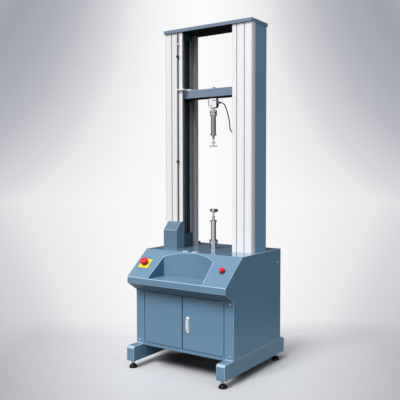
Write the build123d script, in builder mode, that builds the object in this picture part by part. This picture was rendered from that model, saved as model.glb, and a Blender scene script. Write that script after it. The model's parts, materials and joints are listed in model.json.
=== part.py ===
from build123d import *
import os
from math import hypot, pi, radians, tan

os.makedirs("parts", exist_ok=True)

# A floor-standing two-column universal testing machine, in millimetres.
# X runs to the right, Y to the back and Z up; the origin is on the floor, under the middle.

# Overall size and sheet metal
overall_height = 1800
overall_width = 606
overall_depth = 616
sheet = 2
overrun = 5
running_gap = 0.05
safe_gap = 0.3
edge_break = 1

# Cabinet and console, seen from the side
toe_length = 82
heel_length = 44
deck_height = 611
deck_setback = 84
nose_reach = 74
nose_top = 481
nose_bottom = 449
chin_height = 402

# Foot beams and levelling feet
foot_height = 39
foot_diameter = 43
foot_rim = 5
foot_neck_diameter = 20
foot_neck_height = 19
stem_diameter = 12
stem_length = 74
lock_nut_width = 21
lock_nut_height = 9
foot_inset_front = 24
foot_inset_rear = 55
beam_width = 48
beam_height = 78
beam_wall = 3
beam_end_round = 12
beam_edge_round = 2
foot_boss_diameter = 28
foot_boss_height = 14

# Tray sunk in the console's slope
tray_margin_front = 134
tray_margin_back = 147
tray_back_depth = 122
tray_bow = 31

# Front frame and doors
stile_width = 55
opening_bottom = 128
opening_top = 398
frame_bottom = 110
frame_top = 436
door_gap = 2
door_half_gap = 1
door_depth = 16
door_skin = 1.5
hinge_inset = 5
hinge_pin_diameter = 5
hinge_pin_reach = 10
hinge_ear = 3
hinge_ear_width = 16
hinge_ear_depth = 12

# Door handle
handle_x = 33
handle_bottom = 215
handle_height = 84
handle_width = 17
handle_plate = 3
handle_pivot_drop = 12
handle_lever_length = 62
handle_lever_width = 12
handle_lever_thickness = 6
handle_standoff = 2
handle_shaft_diameter = 8
handle_cam_length = 26
handle_cam_width = 14
handle_cam_thickness = 3
handle_cam_gap = 4

# Cabinet inside
floor_sheet = 3
base_plate_thickness = 30
base_plate_inset = 18
base_plate_reach = 16
base_plate_rear_gap = 74
post_width = 26

# Columns
column_inset = 28
column_width = 117
column_front = -4
column_depth = 152
profile_wall = 3
front_slab = 14
outer_return_depth = 32
outer_return_width = 12
corner_round = 9
groove_inner = 27
groove_outer = 72
groove_width = 5
groove_depth = 5
groove_web = 11
rear_profile_depth = 35
cover_sheet = 3
strip_thickness = 3
strip_start = 24
strip_width = 9
strip_pitch = 11
strip_count = 3

# Top plate
top_thickness = 19
top_overhang_side = 2
top_overhang_front = 8

# Drive: screws, guide rods, motor and belt
load_axis_y = 62
screw_offset = 42
screw_diameter = 25
rod_offset = 84
rod_diameter = 20
bearing_width = 58
bearing_depth = 88
bearing_height = 75
top_bearing_height = 30
pulley_diameter = 50
pulley_height = 20
pulley_drop = 14
motor_pulley_diameter = 40
motor_shaft_diameter = 14
motor_y = 130
motor_width = 86
motor_height = 140
motor_flange_width = 110
motor_flange = 8
motor_spacer_diameter = 12
motor_spacer_spread = 45
belt_thickness = 3
belt_margin = 2

# Control box and mains inlet
control_inset = 53
control_width = 150
control_rear_gap = 24
control_depth = 200
control_height = 250
inlet_inset = 103
inlet_z = 210
inlet_width = 58
inlet_height = 34
inlet_flange = 3
inlet_body_width = 46
inlet_body_height = 26
inlet_body_depth = 28

# Crosshead
crosshead_drop = 375
crosshead_height = 44
crosshead_depth = 88
crosshead_end_gap = 14
nut_diameter = 34
nut_flange_diameter = 44
nut_flange = 8
bush_diameter = 30
bush_flange_diameter = 36
bush_flange = 4

# Load cell and the upper grip, from the crosshead down
cell_width = 56
cell_height = 56
cell_thickness = 20
cell_corner = 17
cell_gap = 1
cell_slot = 3
cell_slot_length = 30
cell_slot_offset = 13
cell_stud_diameter = 16
cell_nut_diameter = 24
cell_nut_height = 12
cell_outlet_diameter = 11
cell_outlet_length = 10
cell_neck = 11
lock_ring_diameter = 39
lock_ring_height = 14
lock_ring_gap = 2
grip_diameter = 27
grip_length = 96
grip_flange_diameter = 33
grip_flange = 8
grip_cone_height = 20
grip_cone_start = 15
grip_cone_end = 11
presser_rod_diameter = 6
presser_rod_length = 35
presser_collar_diameter = 22
presser_collar = 5
presser_collar_drop = 16
presser_disc_diameter = 43
presser_disc = 4

# Load cell cable and its gland under the crosshead
cable_diameter = 6
gland_gap = 12
gland_diameter = 16
gland_height = 14
gland_thread_diameter = 10
corner_share = 0.45
cable_shares = [0, 0.23, 0.39, 0.51, 0.6, 0.6, 0.69, 0.95, 1.06, 1.05, 1.02, 1, 1]
cable_drops = [29, 29, 59, 99, 135, 163, 189, 189, 166, 127, 87, 49, 14]

# Limit rod, arm, collars and switch box, on the left column
limit_rod_diameter = 6
limit_rod_standoff = 7.5
limit_rod_top_gap = 6
limit_rod_rise = 89
collar_diameter = 14
collar_height = 12
upper_collar_drop = 154
lower_collar_rise = 467
clip_drop = 88
clip_width = 14
clip_height = 9
arm_thickness = 6
arm_width = 12
arm_face_gap = 1.5
arm_side_gap = 6
arm_foot_length = 28
arm_foot_width = 32
arm_hole_diameter = 8
box_outer_gap = 34
box_width = 86
box_reach = 64
box_front_height = 101
box_height = 145
box_slant = 44
switch_width = 30
switch_depth = 16
switch_gap = 6

# Lower jig and vise
jig_foot_diameter = 34
jig_foot_height = 24
jig_diameter = 27
jig_body_height = 146
jig_stud_diameter = 12
jig_stud_length = 32
jig_ring_diameter = 47
jig_ring_height = 24
jig_flange_diameter = 36
jig_flange = 8
jig_neck_diameter = 15
jig_neck_height = 22
jig_tip_diameter = 9
jig_tip_height = 20
vise_width = 17
vise_height = 20
vise_slot = 3
vise_slot_depth = 13
vise_screw_diameter = 6
vise_screw_drop = 8
vise_knob_diameter = 17
vise_knob_length = 11
vise_knob_gap = 4
anvil_knob_length = 5

# Emergency stop and push button on the slope
estop_inset = 60
button_inset = 64
button_share = 0.49
estop_plate_width = 60
estop_plate = 2.5
estop_collar_diameter = 30
estop_collar_height = 8
estop_head_diameter = 40
estop_head_height = 15
estop_dome = 9
estop_travel = 5
barrel_diameter = 22
contact_block_width = 30
contact_block_depth = 42
plunger_diameter = 10
plunger_length = 26
bezel_diameter = 30
bezel_height = 5
cap_diameter = 25
cap_height = 12
cap_travel = 4
cap_well = 2

# Deck plugs, grommet and screws
plug_diameter = 35
plug_height = 1.5
plug_stub_diameter = 20
plug_setback = 24
plug_places = [-60, 2]
grommet_inset = 83
grommet_rear_gap = 21
grommet_diameter = 22
grommet_height = 10
screw_head_diameter = 9
screw_head_height = 2.5
screw_shank_diameter = 5
stile_screw_inset = 19
stile_screw_heights = [391, 135]
side_screw_inset = 36
side_screw_drop = 70
back_screw_inset = 20
top_screw_diameter = 6
top_screw_head_diameter = 12
top_screw_head_height = 6

# Places worked out from the driving dimensions
half_width = overall_width / 2
inner_half = half_width - sheet
front = -overall_depth / 2 + toe_length
rear = overall_depth / 2 - heel_length
nose = front - nose_reach
deck_edge = front + deck_setback
beam_top = foot_height + beam_height
floor_top = beam_top + floor_sheet
deck_under = deck_height - sheet
base_plate_under = deck_under - base_plate_thickness
top_under = overall_height - top_thickness
tray_half_front = half_width - tray_margin_front
tray_half_back = half_width - tray_margin_back
opening_half = half_width - stile_width
column_outer = half_width - column_inset
column_inner = column_outer - column_width
column_rear = column_front + column_depth
rear_profile_front = column_rear - rear_profile_depth
cover_inner = column_outer - cover_sheet
return_end = column_front + outer_return_depth
base_plate_half = half_width - base_plate_inset
base_plate_front = column_front - base_plate_reach
base_plate_rear = rear - base_plate_rear_gap
screw_x = column_inner + screw_offset
rod_x = column_inner + rod_offset
crosshead_half = column_outer - crosshead_end_gap
crosshead_bottom = overall_height - crosshead_drop
crosshead_top = crosshead_bottom + crosshead_height
crosshead_front = load_axis_y - crosshead_depth / 2
slope_run = deck_edge - nose
slope_rise = deck_height - nose_top
slope_length = hypot(slope_run, slope_rise)
chin_run = front - nose
chin_rise = nose_bottom - chin_height
chin_length = hypot(chin_run, chin_rise)
tray_back = nose + tray_back_depth
tray_apex = tray_back + tray_bow
limit_rod_x = -(column_inner + groove_inner)
limit_rod_y = column_front - limit_rod_standoff
limit_rod_bottom = deck_height + limit_rod_rise
upper_collar_z = overall_height - upper_collar_drop
lower_collar_z = deck_height + lower_collar_rise
clip_z = overall_height - clip_drop
box_left = box_outer_gap - column_outer
jig_body_top = deck_height + jig_body_height
hinge_x = opening_half - door_gap - hinge_inset
hinge_y = front + hinge_inset
handle_pivot_z = handle_bottom + handle_height - handle_pivot_drop
pulley_top = base_plate_under - pulley_drop
pulley_bottom = pulley_top - pulley_height
control_left = control_inset - half_width
control_front = rear - control_rear_gap - control_depth
inlet_x = half_width - inlet_inset
estop_x = estop_inset - half_width
button_x = half_width - button_inset
plug_y = deck_edge + plug_setback
grommet_x = grommet_inset - half_width
grommet_y = rear - grommet_rear_gap
stile_screw_x = half_width - stile_screw_inset
side_screw_y = rear - side_screw_inset
side_screw_z = deck_height - side_screw_drop
foot_x = half_width - beam_width / 2
foot_front_y = -overall_depth / 2 + foot_inset_front
foot_rear_y = overall_depth / 2 - foot_inset_rear

# The cable's points, by their share of the way to the gland and drop below the crosshead
gland_x = column_inner - gland_gap
cable_start = cell_width / 2 + cell_outlet_length
cable_route = [
    (cable_start + share * (gland_x - cable_start), load_axis_y, crosshead_bottom - drop)
    for share, drop in zip(cable_shares, cable_drops)
]


def level(z):
    return Plane.XY.offset(z)


def across(x):
    return Plane.YZ.offset(x)


def facing(y):
    return Plane.XZ.offset(-y)


def on_slope(x, height=0):
    run = button_share * slope_run
    rise = button_share * slope_rise
    base = Plane(
        origin=(x, nose + run, nose_top + rise),
        x_dir=(1, 0, 0),
        z_dir=(0, -slope_rise, slope_run),
    )
    return base.offset(height)


def save(piece, name):
    piece.part.label = name
    export_step(piece.part, f"parts/{name}.step")


def box_between(x, y, z, mode=Mode.ADD):
    with BuildSketch(level(z[0])) as section:
        with Locations(((x[0] + x[1]) / 2, (y[0] + y[1]) / 2)):
            Rectangle(x[1] - x[0], y[1] - y[0])
    extrude(section.sketch, amount=z[1] - z[0], mode=mode)


def cut_between(x, y, z):
    box_between(x, y, z, Mode.SUBTRACT)


def post(x, y, z, height, diameter, mode=Mode.ADD):
    with BuildSketch(level(z)) as section:
        with Locations((x, y)):
            Circle(diameter / 2)
    extrude(section.sketch, amount=height, mode=mode)


def turned(x, y, steps):
    for low, high, diameter in steps:
        post(x, y, low, high - low, diameter)


# Foot beams and levelling feet
def leg_beam(side):
    places = [(side * foot_x, foot_front_y), (side * foot_x, foot_rear_y)]
    hole = stem_diameter + 2 * running_gap
    depth = foot_boss_height + beam_wall + 2 * overrun
    with BuildPart() as beam:
        with BuildSketch(level(foot_height)):
            with Locations((side * foot_x, 0)):
                Rectangle(beam_width, overall_depth)
        extrude(amount=beam_height)
        top = beam.faces().sort_by(Axis.Z)[-1]
        fillet(top.edges().filter_by(Axis.X), radius=beam_end_round)
        long_edges = beam.faces().sort_by(Axis.Z)[-1].edges().filter_by(Axis.Y)
        fillet(long_edges, radius=beam_edge_round)
        with BuildSketch(level(foot_height + beam_wall)):
            with Locations((side * foot_x, 0)):
                Rectangle(beam_width - 2 * beam_wall, overall_depth - 2 * beam_end_round)
        extrude(amount=beam_height - 2 * beam_wall, mode=Mode.SUBTRACT)
        for x, y in places:
            post(x, y, foot_height + beam_wall, foot_boss_height, foot_boss_diameter)
            post(x, y, foot_height - overrun, depth, hole, Mode.SUBTRACT)
    return beam


def levelling_foot(x, y):
    with BuildPart() as foot:
        with BuildSketch(Plane.XZ) as section:
            with BuildLine():
                Polyline(
                    (0, 0),
                    (foot_diameter / 2, 0),
                    (foot_diameter / 2, foot_rim),
                )
                RadiusArc(
                    (foot_diameter / 2, foot_rim),
                    (foot_neck_diameter / 2, foot_neck_height),
                    -foot_diameter / 2,
                )
                Polyline(
                    (foot_neck_diameter / 2, foot_neck_height),
                    (stem_diameter / 2, foot_neck_height),
                    (stem_diameter / 2, stem_length),
                    (0, stem_length),
                    (0, 0),
                )
            make_face()
        revolve(axis=Axis.Z)
        nut_base = foot_height - safe_gap - lock_nut_height
        with BuildSketch(level(nut_base)):
            RegularPolygon(lock_nut_width / 2, 6, major_radius=False)
        extrude(amount=lock_nut_height)
    foot.part.position = (x, y, 0)
    return foot


# Cabinet sheets
def side_panel(side):
    with BuildPart() as panel:
        with BuildSketch(across(side * inner_half)):
            Polygon(
                (rear, beam_top),
                (rear, deck_height),
                (deck_edge, deck_height),
                (nose, nose_top),
                (nose, nose_bottom),
                (front, chin_height),
                (front, beam_top),
                align=None,
            )
        extrude(amount=side * sheet)
        with BuildSketch(across(side * (inner_half - overrun))):
            with Locations((side_screw_y, side_screw_z)):
                Circle(screw_shank_diameter / 2)
        extrude(amount=side * (sheet + 2 * overrun), mode=Mode.SUBTRACT)
    return panel


def back_screw_places():
    across_half = inner_half - back_screw_inset
    heights = [beam_top + back_screw_inset, deck_under - back_screw_inset]
    return [(x, z) for x in (-across_half, across_half) for z in heights]


def back_panel():
    with BuildPart() as panel:
        box_between((-inner_half, inner_half), (rear - sheet, rear), (beam_top, deck_under))
        with BuildSketch(facing(rear + overrun)):
            with Locations((inlet_x, inlet_z)):
                Rectangle(inlet_body_width, inlet_body_height)
            with Locations(*back_screw_places()):
                Circle(screw_shank_diameter / 2)
        extrude(amount=sheet + 2 * overrun, mode=Mode.SUBTRACT)
    return panel


def floor_panel():
    with BuildPart() as panel:
        box_between((-inner_half, inner_half), (front + sheet, rear - sheet), (beam_top, floor_top))
    return panel


def front_frame():
    between_beams = half_width - beam_width - safe_gap
    with BuildPart() as frame:
        box_between((-inner_half, inner_half), (front, front + sheet), (beam_top, frame_top))
        box_between((-between_beams, between_beams), (front, front + sheet), (frame_bottom, beam_top))
        cut_between(
            (-opening_half, opening_half),
            (front - overrun, front + sheet + overrun),
            (opening_bottom, opening_top),
        )
        with BuildSketch(facing(front + sheet + overrun)):
            with Locations(*stile_screw_places()):
                Circle(screw_shank_diameter / 2)
        extrude(amount=sheet + 2 * overrun, mode=Mode.SUBTRACT)
    return frame


def stile_screw_places():
    return [(x, z) for x in (-stile_screw_x, stile_screw_x) for z in stile_screw_heights]


def tray_outline(grow, front_edge):
    taper = (tray_half_front - tray_half_back) / tray_back_depth
    half_front = tray_half_front + grow + taper * (nose - front_edge)
    with BuildLine() as outline:
        Polyline(
            (-(tray_half_back + grow), tray_back),
            (-half_front, front_edge),
            (half_front, front_edge),
            (tray_half_back + grow, tray_back),
        )
        ThreePointArc(
            (tray_half_back + grow, tray_back),
            (0, tray_apex + grow),
            (-(tray_half_back + grow), tray_back),
        )
    make_face(outline.edges())


def console_skin():
    slope_drop = sheet * slope_length / slope_run
    chin_lift = sheet * chin_length / chin_run
    nose_inner = nose + sheet
    with BuildPart() as skin:
        with BuildSketch(across(-inner_half)):
            Polygon(
                (front, chin_height),
                (nose, nose_bottom),
                (nose, nose_top),
                (deck_edge, deck_height),
                (deck_edge, deck_height - slope_drop),
                (nose_inner, nose_top - slope_drop + sheet * slope_rise / slope_run),
                (nose_inner, nose_bottom + chin_lift - sheet * chin_rise / chin_run),
                (front, chin_height + chin_lift),
                align=None,
            )
        extrude(amount=2 * inner_half)
        with BuildSketch(level(nose_top)):
            tray_outline(sheet, nose - overrun)
        extrude(amount=deck_height - nose_top + overrun, mode=Mode.SUBTRACT)
        with BuildSketch(level(nose_top - sheet)):
            tray_outline(sheet, nose + sheet)
        extrude(amount=2 * sheet, mode=Mode.SUBTRACT)
        for x in (estop_x, button_x):
            with BuildSketch(on_slope(x, -2 * overrun)):
                Circle(barrel_diameter / 2)
            extrude(amount=4 * overrun, mode=Mode.SUBTRACT)
    return skin


def console_tray():
    with BuildPart() as tray:
        with BuildSketch(level(nose_top - sheet)):
            tray_outline(sheet, nose + sheet)
        extrude(amount=deck_height - nose_top + sheet)
        with BuildSketch(level(nose_top)):
            tray_outline(0, nose - overrun)
        extrude(amount=deck_height - nose_top + overrun, mode=Mode.SUBTRACT)
        with BuildSketch(across(-half_width)):
            Polygon(
                (nose - overrun, nose_top),
                (nose, nose_top),
                (deck_edge, deck_height),
                (deck_edge, deck_height + overrun),
                (nose - overrun, deck_height + overrun),
                align=None,
            )
        extrude(amount=overall_width, mode=Mode.SUBTRACT)
    return tray


def deck_plate():
    with BuildPart() as deck:
        box_between((-inner_half, inner_half), (deck_edge, rear), (deck_under, deck_height))
        depth = sheet + 2 * overrun
        low = deck_under - overrun
        for side in (-1, 1):
            post(side * screw_x, load_axis_y, low, depth, screw_diameter + 2 * sheet, Mode.SUBTRACT)
        post(0, load_axis_y, low, depth, jig_stud_diameter + 2 * running_gap, Mode.SUBTRACT)
        for x in plug_places:
            post(x, plug_y, low, depth, plug_stub_diameter, Mode.SUBTRACT)
        post(grommet_x, grommet_y, low, depth, grommet_diameter / 2, Mode.SUBTRACT)
    return deck


def base_plate():
    with BuildPart() as plate:
        box_between(
            (-base_plate_half, base_plate_half),
            (base_plate_front, base_plate_rear),
            (base_plate_under, deck_under),
        )
        depth = base_plate_thickness + 2 * overrun
        low = base_plate_under - overrun
        for side in (-1, 1):
            post(side * screw_x, load_axis_y, low, depth, screw_diameter + 2 * sheet, Mode.SUBTRACT)
        post(0, load_axis_y, low, depth, jig_stud_diameter + 2 * running_gap, Mode.SUBTRACT)
    return plate


def frame_posts():
    with BuildPart() as posts:
        for side in (-1, 1):
            sides = sorted((side * inner_half, side * (inner_half - post_width)))
            for y in (base_plate_front, base_plate_rear - post_width):
                box_between(sides, (y, y + post_width), (floor_top, base_plate_under))
    return posts


# Doors, hinges and handle
def door(side):
    near = door_half_gap
    far = opening_half - door_gap
    low = opening_bottom + door_gap
    high = opening_top - door_gap
    edges = sorted((side * near, side * far))
    inside = sorted((side * (near + door_skin), side * (far - door_skin)))
    inside_heights = (low + door_skin, high - door_skin)
    pin_hole = hinge_pin_diameter + 2 * running_gap
    with BuildPart() as pan:
        box_between(edges, (front, front + door_depth), (low, high))
        cut_between(inside, (front + door_skin, front + door_depth + overrun), inside_heights)
        post(side * hinge_x, hinge_y, low - overrun, high - low + 2 * overrun, pin_hole, Mode.SUBTRACT)
        if side > 0:
            with BuildSketch(facing(front + overrun)):
                with Locations((handle_x, handle_pivot_z)):
                    Circle(handle_shaft_diameter / 2 + running_gap)
            extrude(amount=2 * overrun, mode=Mode.SUBTRACT)
    return pan


def door_hinges():
    half_ear = hinge_ear_width / 2
    frame_back = front + sheet
    shoulder = door_gap - safe_gap
    with BuildPart() as hinges:
        for side in (-1, 1):
            x = side * hinge_x
            sides = (x - half_ear, x + half_ear)
            depth = (frame_back, frame_back + hinge_ear_depth)
            box_between(sides, depth, (opening_bottom - hinge_ear, opening_bottom))
            post(x, hinge_y, opening_bottom, shoulder, 2 * hinge_pin_diameter)
            post(x, hinge_y, opening_bottom - hinge_ear, hinge_ear + hinge_pin_reach, hinge_pin_diameter)
            box_between(sides, depth, (opening_top, opening_top + hinge_ear))
            post(x, hinge_y, opening_top - hinge_pin_reach, hinge_ear + hinge_pin_reach, hinge_pin_diameter)
            post(x, hinge_y, opening_top - shoulder, shoulder, 2 * hinge_pin_diameter)
    return hinges


def handle_base():
    with BuildPart() as base:
        with BuildSketch(facing(front)):
            with Locations((handle_x, handle_bottom + handle_height / 2)):
                SlotOverall(handle_height, handle_width, rotation=90)
            with Locations((handle_x, handle_pivot_z)):
                Circle(handle_shaft_diameter / 2 + running_gap, mode=Mode.SUBTRACT)
        extrude(amount=handle_plate)
    return base


def handle_lever():
    lever_back = front - handle_plate - handle_standoff
    cam_front = front + door_depth + handle_cam_gap
    lever_middle = handle_pivot_z + handle_lever_width / 2 - handle_lever_length / 2
    with BuildPart() as lever:
        with BuildSketch(facing(lever_back)):
            with Locations((handle_x, lever_middle)):
                SlotOverall(handle_lever_length, handle_lever_width, rotation=90)
        extrude(amount=handle_lever_thickness)
        fillet(lever.faces().sort_by(Axis.Y)[0].edges(), radius=edge_break)
        with BuildSketch(facing(cam_front + handle_cam_thickness)):
            with Locations((handle_x, handle_pivot_z)):
                Circle(handle_shaft_diameter / 2)
        extrude(amount=cam_front + handle_cam_thickness - lever_back)
        with BuildSketch(facing(lever_back)):
            with Locations((handle_x, handle_pivot_z)):
                Circle(handle_lever_width / 2)
        extrude(amount=-(handle_standoff - safe_gap))
        with BuildSketch(facing(cam_front + handle_cam_thickness)):
            with Locations((handle_x - handle_cam_length / 2 + handle_cam_width / 2, handle_pivot_z)):
                SlotOverall(handle_cam_length + handle_cam_width / 2, handle_cam_width)
        extrude(amount=handle_cam_thickness)
    return lever


# Columns
def column_front_profile(side):
    slab_back = column_front + front_slab
    return_inner = column_outer - outer_return_width
    with BuildPart() as profile:
        with BuildSketch(level(deck_height)) as section:
            with BuildLine():
                Polyline(
                    (side * column_inner, column_front),
                    (side * column_outer, column_front),
                    (side * column_outer, return_end),
                    (side * return_inner, return_end),
                    (side * return_inner, slab_back),
                    (side * column_inner, slab_back),
                    (side * column_inner, column_front),
                )
            make_face()
            corner = section.vertices().sort_by_distance((side * column_outer, column_front))[0]
            fillet(corner, radius=corner_round)
            for offset in (groove_inner, groove_outer):
                with Locations((side * (column_inner + offset), column_front + groove_depth / 2)):
                    Rectangle(groove_width, groove_depth, mode=Mode.SUBTRACT)
            starts = (
                column_inner + profile_wall,
                column_inner + groove_inner + groove_web / 2,
                column_inner + groove_outer + groove_web / 2,
            )
            ends = (
                column_inner + groove_inner - groove_web / 2,
                column_inner + groove_outer - groove_web / 2,
                return_inner - profile_wall,
            )
            for start, end in zip(starts, ends):
                with Locations((side * (start + end) / 2, column_front + front_slab / 2)):
                    Rectangle(end - start, front_slab - 2 * profile_wall, mode=Mode.SUBTRACT)
        extrude(amount=top_under - deck_height)
    return profile


def column_rear_profiles():
    width = cover_inner - column_inner
    middle = (cover_inner + column_inner) / 2
    depth_middle = column_rear - rear_profile_depth / 2
    with BuildPart() as profiles:
        for side in (-1, 1):
            with BuildSketch(level(deck_height)):
                with Locations((side * middle, depth_middle)):
                    Rectangle(width, rear_profile_depth)
                cell = (width - 3 * profile_wall) / 2
                for shift in (-1, 1):
                    with Locations((side * middle + shift * (cell + profile_wall) / 2, depth_middle)):
                        Rectangle(cell, rear_profile_depth - 2 * profile_wall, mode=Mode.SUBTRACT)
            extrude(amount=top_under - deck_height)
    return profiles


def column_covers():
    with BuildPart() as covers:
        for side in (-1, 1):
            sides = sorted((side * cover_inner, side * column_outer))
            box_between(sides, (return_end, column_rear), (deck_height, top_under))
    return covers


def dust_strips():
    with BuildPart() as strips:
        for side in (-1, 1):
            for place in range(strip_count):
                start = column_inner + strip_start + place * strip_pitch
                sides = sorted((side * start, side * (start + strip_width)))
                box_between(
                    sides,
                    (rear_profile_front - strip_thickness, rear_profile_front),
                    (deck_height, top_under),
                )
    return strips


def top_screw_places():
    slab_middle = column_front + groove_depth + (front_slab - groove_depth) / 2
    rear_middle = column_rear - rear_profile_depth / 2
    places = []
    for side in (-1, 1):
        for offset in (groove_inner, groove_outer):
            for y in (slab_middle, rear_middle):
                places.append((side * (column_inner + offset), y))
    return places


def top_plate():
    half = column_outer + top_overhang_side
    with BuildPart() as plate:
        box_between(
            (-half, half),
            (column_front - top_overhang_front, column_rear + top_overhang_front),
            (top_under, overall_height),
        )
        chamfer(plate.faces().sort_by(Axis.Z)[-1].edges(), length=edge_break)
        with Locations(*[(x, y, overall_height) for x, y in top_screw_places()]):
            CounterBoreHole(
                radius=top_screw_diameter / 2,
                counter_bore_radius=top_screw_head_diameter / 2 + running_gap,
                counter_bore_depth=top_screw_head_height,
                depth=top_thickness,
            )
    return plate


# Drive
def guide_rods():
    with BuildPart() as rods:
        for side in (-1, 1):
            post(side * rod_x, load_axis_y, deck_height, top_under - deck_height, rod_diameter)
    return rods


def lead_screw(side):
    length = top_under - safe_gap - pulley_bottom
    with BuildPart() as screw:
        post(side * screw_x, load_axis_y, pulley_bottom, length, screw_diameter)
        post(side * screw_x, load_axis_y, pulley_bottom, pulley_height, pulley_diameter)
    return screw


def bearing_block(side, z, height):
    inner_edge = screw_x - bearing_width / 2
    sides = sorted((side * inner_edge, side * (inner_edge + bearing_width)))
    depth = (load_axis_y - bearing_depth / 2, load_axis_y + bearing_depth / 2)
    box_between(sides, depth, (z, z + height))
    bore = screw_diameter + 2 * running_gap
    post(side * screw_x, load_axis_y, z - overrun, height + 2 * overrun, bore, Mode.SUBTRACT)


def screw_bearings():
    with BuildPart() as blocks:
        for side in (-1, 1):
            bearing_block(side, deck_height, bearing_height)
            bearing_block(side, top_under - top_bearing_height, top_bearing_height)
    return blocks


def drive_motor():
    flange_top = pulley_bottom - belt_margin
    flange_low = flange_top - motor_flange
    with BuildPart() as motor:
        with BuildSketch(level(flange_low - motor_height)):
            with Locations((0, motor_y)):
                RectangleRounded(motor_width, motor_width, motor_spacer_diameter)
        extrude(amount=motor_height)
        with BuildSketch(level(flange_low)):
            with Locations((0, motor_y)):
                Rectangle(motor_flange_width, motor_flange_width)
        extrude(amount=motor_flange)
        bore = motor_shaft_diameter + 2 * running_gap
        post(0, motor_y, flange_top - 2 * motor_flange, 2 * motor_flange + overrun, bore, Mode.SUBTRACT)
        for x in (-motor_spacer_spread, motor_spacer_spread):
            for y in (motor_y - motor_spacer_spread, motor_y + motor_spacer_spread):
                post(x, y, flange_top, base_plate_under - flange_top, motor_spacer_diameter)
    return motor


def motor_pulley():
    shaft_low = pulley_bottom - belt_margin - motor_flange
    with BuildPart() as pulley:
        post(0, motor_y, shaft_low, pulley_top - shaft_low, motor_shaft_diameter)
        post(0, motor_y, pulley_bottom, pulley_height, motor_pulley_diameter)
    return pulley


def belt_loop(grow):
    circles = [
        (screw_x, load_axis_y, pulley_diameter / 2),
        (-screw_x, load_axis_y, pulley_diameter / 2),
        (0, motor_y, motor_pulley_diameter / 2),
    ]
    with BuildSketch(mode=Mode.PRIVATE) as loop:
        for x, y, radius in circles:
            with Locations((x, y)):
                Circle(radius + grow)
        make_hull()
    return loop.sketch


def drive_belt():
    with BuildPart() as belt:
        with BuildSketch(level(pulley_bottom + belt_margin)):
            add(belt_loop(running_gap + belt_thickness))
            add(belt_loop(running_gap), mode=Mode.SUBTRACT)
        extrude(amount=pulley_height - 2 * belt_margin)
    return belt


def control_box():
    with BuildPart() as case:
        box_between(
            (control_left, control_left + control_width),
            (control_front, control_front + control_depth),
            (floor_top, floor_top + control_height),
        )
        fillet(case.edges().filter_by(Axis.Z), radius=2 * edge_break)
    return case


def mains_inlet():
    with BuildPart() as inlet:
        with BuildSketch(facing(rear + inlet_flange)):
            with Locations((inlet_x, inlet_z)):
                RectangleRounded(inlet_width, inlet_height, 2 * edge_break)
        extrude(amount=inlet_flange)
        with BuildSketch(facing(rear)):
            with Locations((inlet_x, inlet_z)):
                Rectangle(inlet_body_width, inlet_body_height)
        extrude(amount=inlet_body_depth)
        with BuildSketch(facing(rear + inlet_flange + overrun)):
            with Locations((inlet_x, inlet_z)):
                Rectangle(inlet_body_width - 4 * inlet_flange, inlet_body_height - 2 * inlet_flange)
        extrude(amount=inlet_flange + overrun + inlet_body_depth / 2, mode=Mode.SUBTRACT)
    return inlet


# Crosshead with its nuts and bushes
def crosshead_beam():
    with BuildPart() as beam:
        box_between(
            (-crosshead_half, crosshead_half),
            (crosshead_front, crosshead_front + crosshead_depth),
            (crosshead_bottom, crosshead_top),
        )
        chamfer(beam.edges().filter_by(Axis.X), length=edge_break)
        depth = crosshead_height + 2 * overrun
        low = crosshead_bottom - overrun
        for side in (-1, 1):
            post(side * screw_x, load_axis_y, low, depth, nut_diameter, Mode.SUBTRACT)
            post(side * rod_x, load_axis_y, low, depth, bush_diameter, Mode.SUBTRACT)
        post(0, load_axis_y, low, depth, cell_stud_diameter, Mode.SUBTRACT)
        post(gland_x, load_axis_y, low, depth, gland_thread_diameter, Mode.SUBTRACT)
    return beam


def crosshead_bushes():
    with BuildPart() as bushes:
        for side in (-1, 1):
            post(side * screw_x, load_axis_y, crosshead_bottom, crosshead_height, nut_diameter)
            post(side * screw_x, load_axis_y, crosshead_top, nut_flange, nut_flange_diameter)
            post(side * rod_x, load_axis_y, crosshead_bottom, crosshead_height, bush_diameter)
            post(side * rod_x, load_axis_y, crosshead_top, bush_flange, bush_flange_diameter)
        depth = crosshead_height + nut_flange + 2 * overrun
        low = crosshead_bottom - overrun
        for side in (-1, 1):
            screw_bore = screw_diameter + 2 * running_gap
            rod_bore = rod_diameter + 2 * running_gap
            post(side * screw_x, load_axis_y, low, depth, screw_bore, Mode.SUBTRACT)
            post(side * rod_x, load_axis_y, low, depth, rod_bore, Mode.SUBTRACT)
    return bushes


# Load cell and upper grip
cell_top = crosshead_bottom - cell_gap
cell_bottom = cell_top - cell_height
cell_middle = (cell_top + cell_bottom) / 2
ring_top = cell_bottom - cell_neck
ring_bottom = ring_top - 2 * lock_ring_height - lock_ring_gap
grip_bottom = ring_bottom - grip_length
flange_bottom = grip_bottom - grip_flange
cone_bottom = flange_bottom - grip_cone_height
presser_bottom = cone_bottom - presser_rod_length - presser_disc


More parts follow.
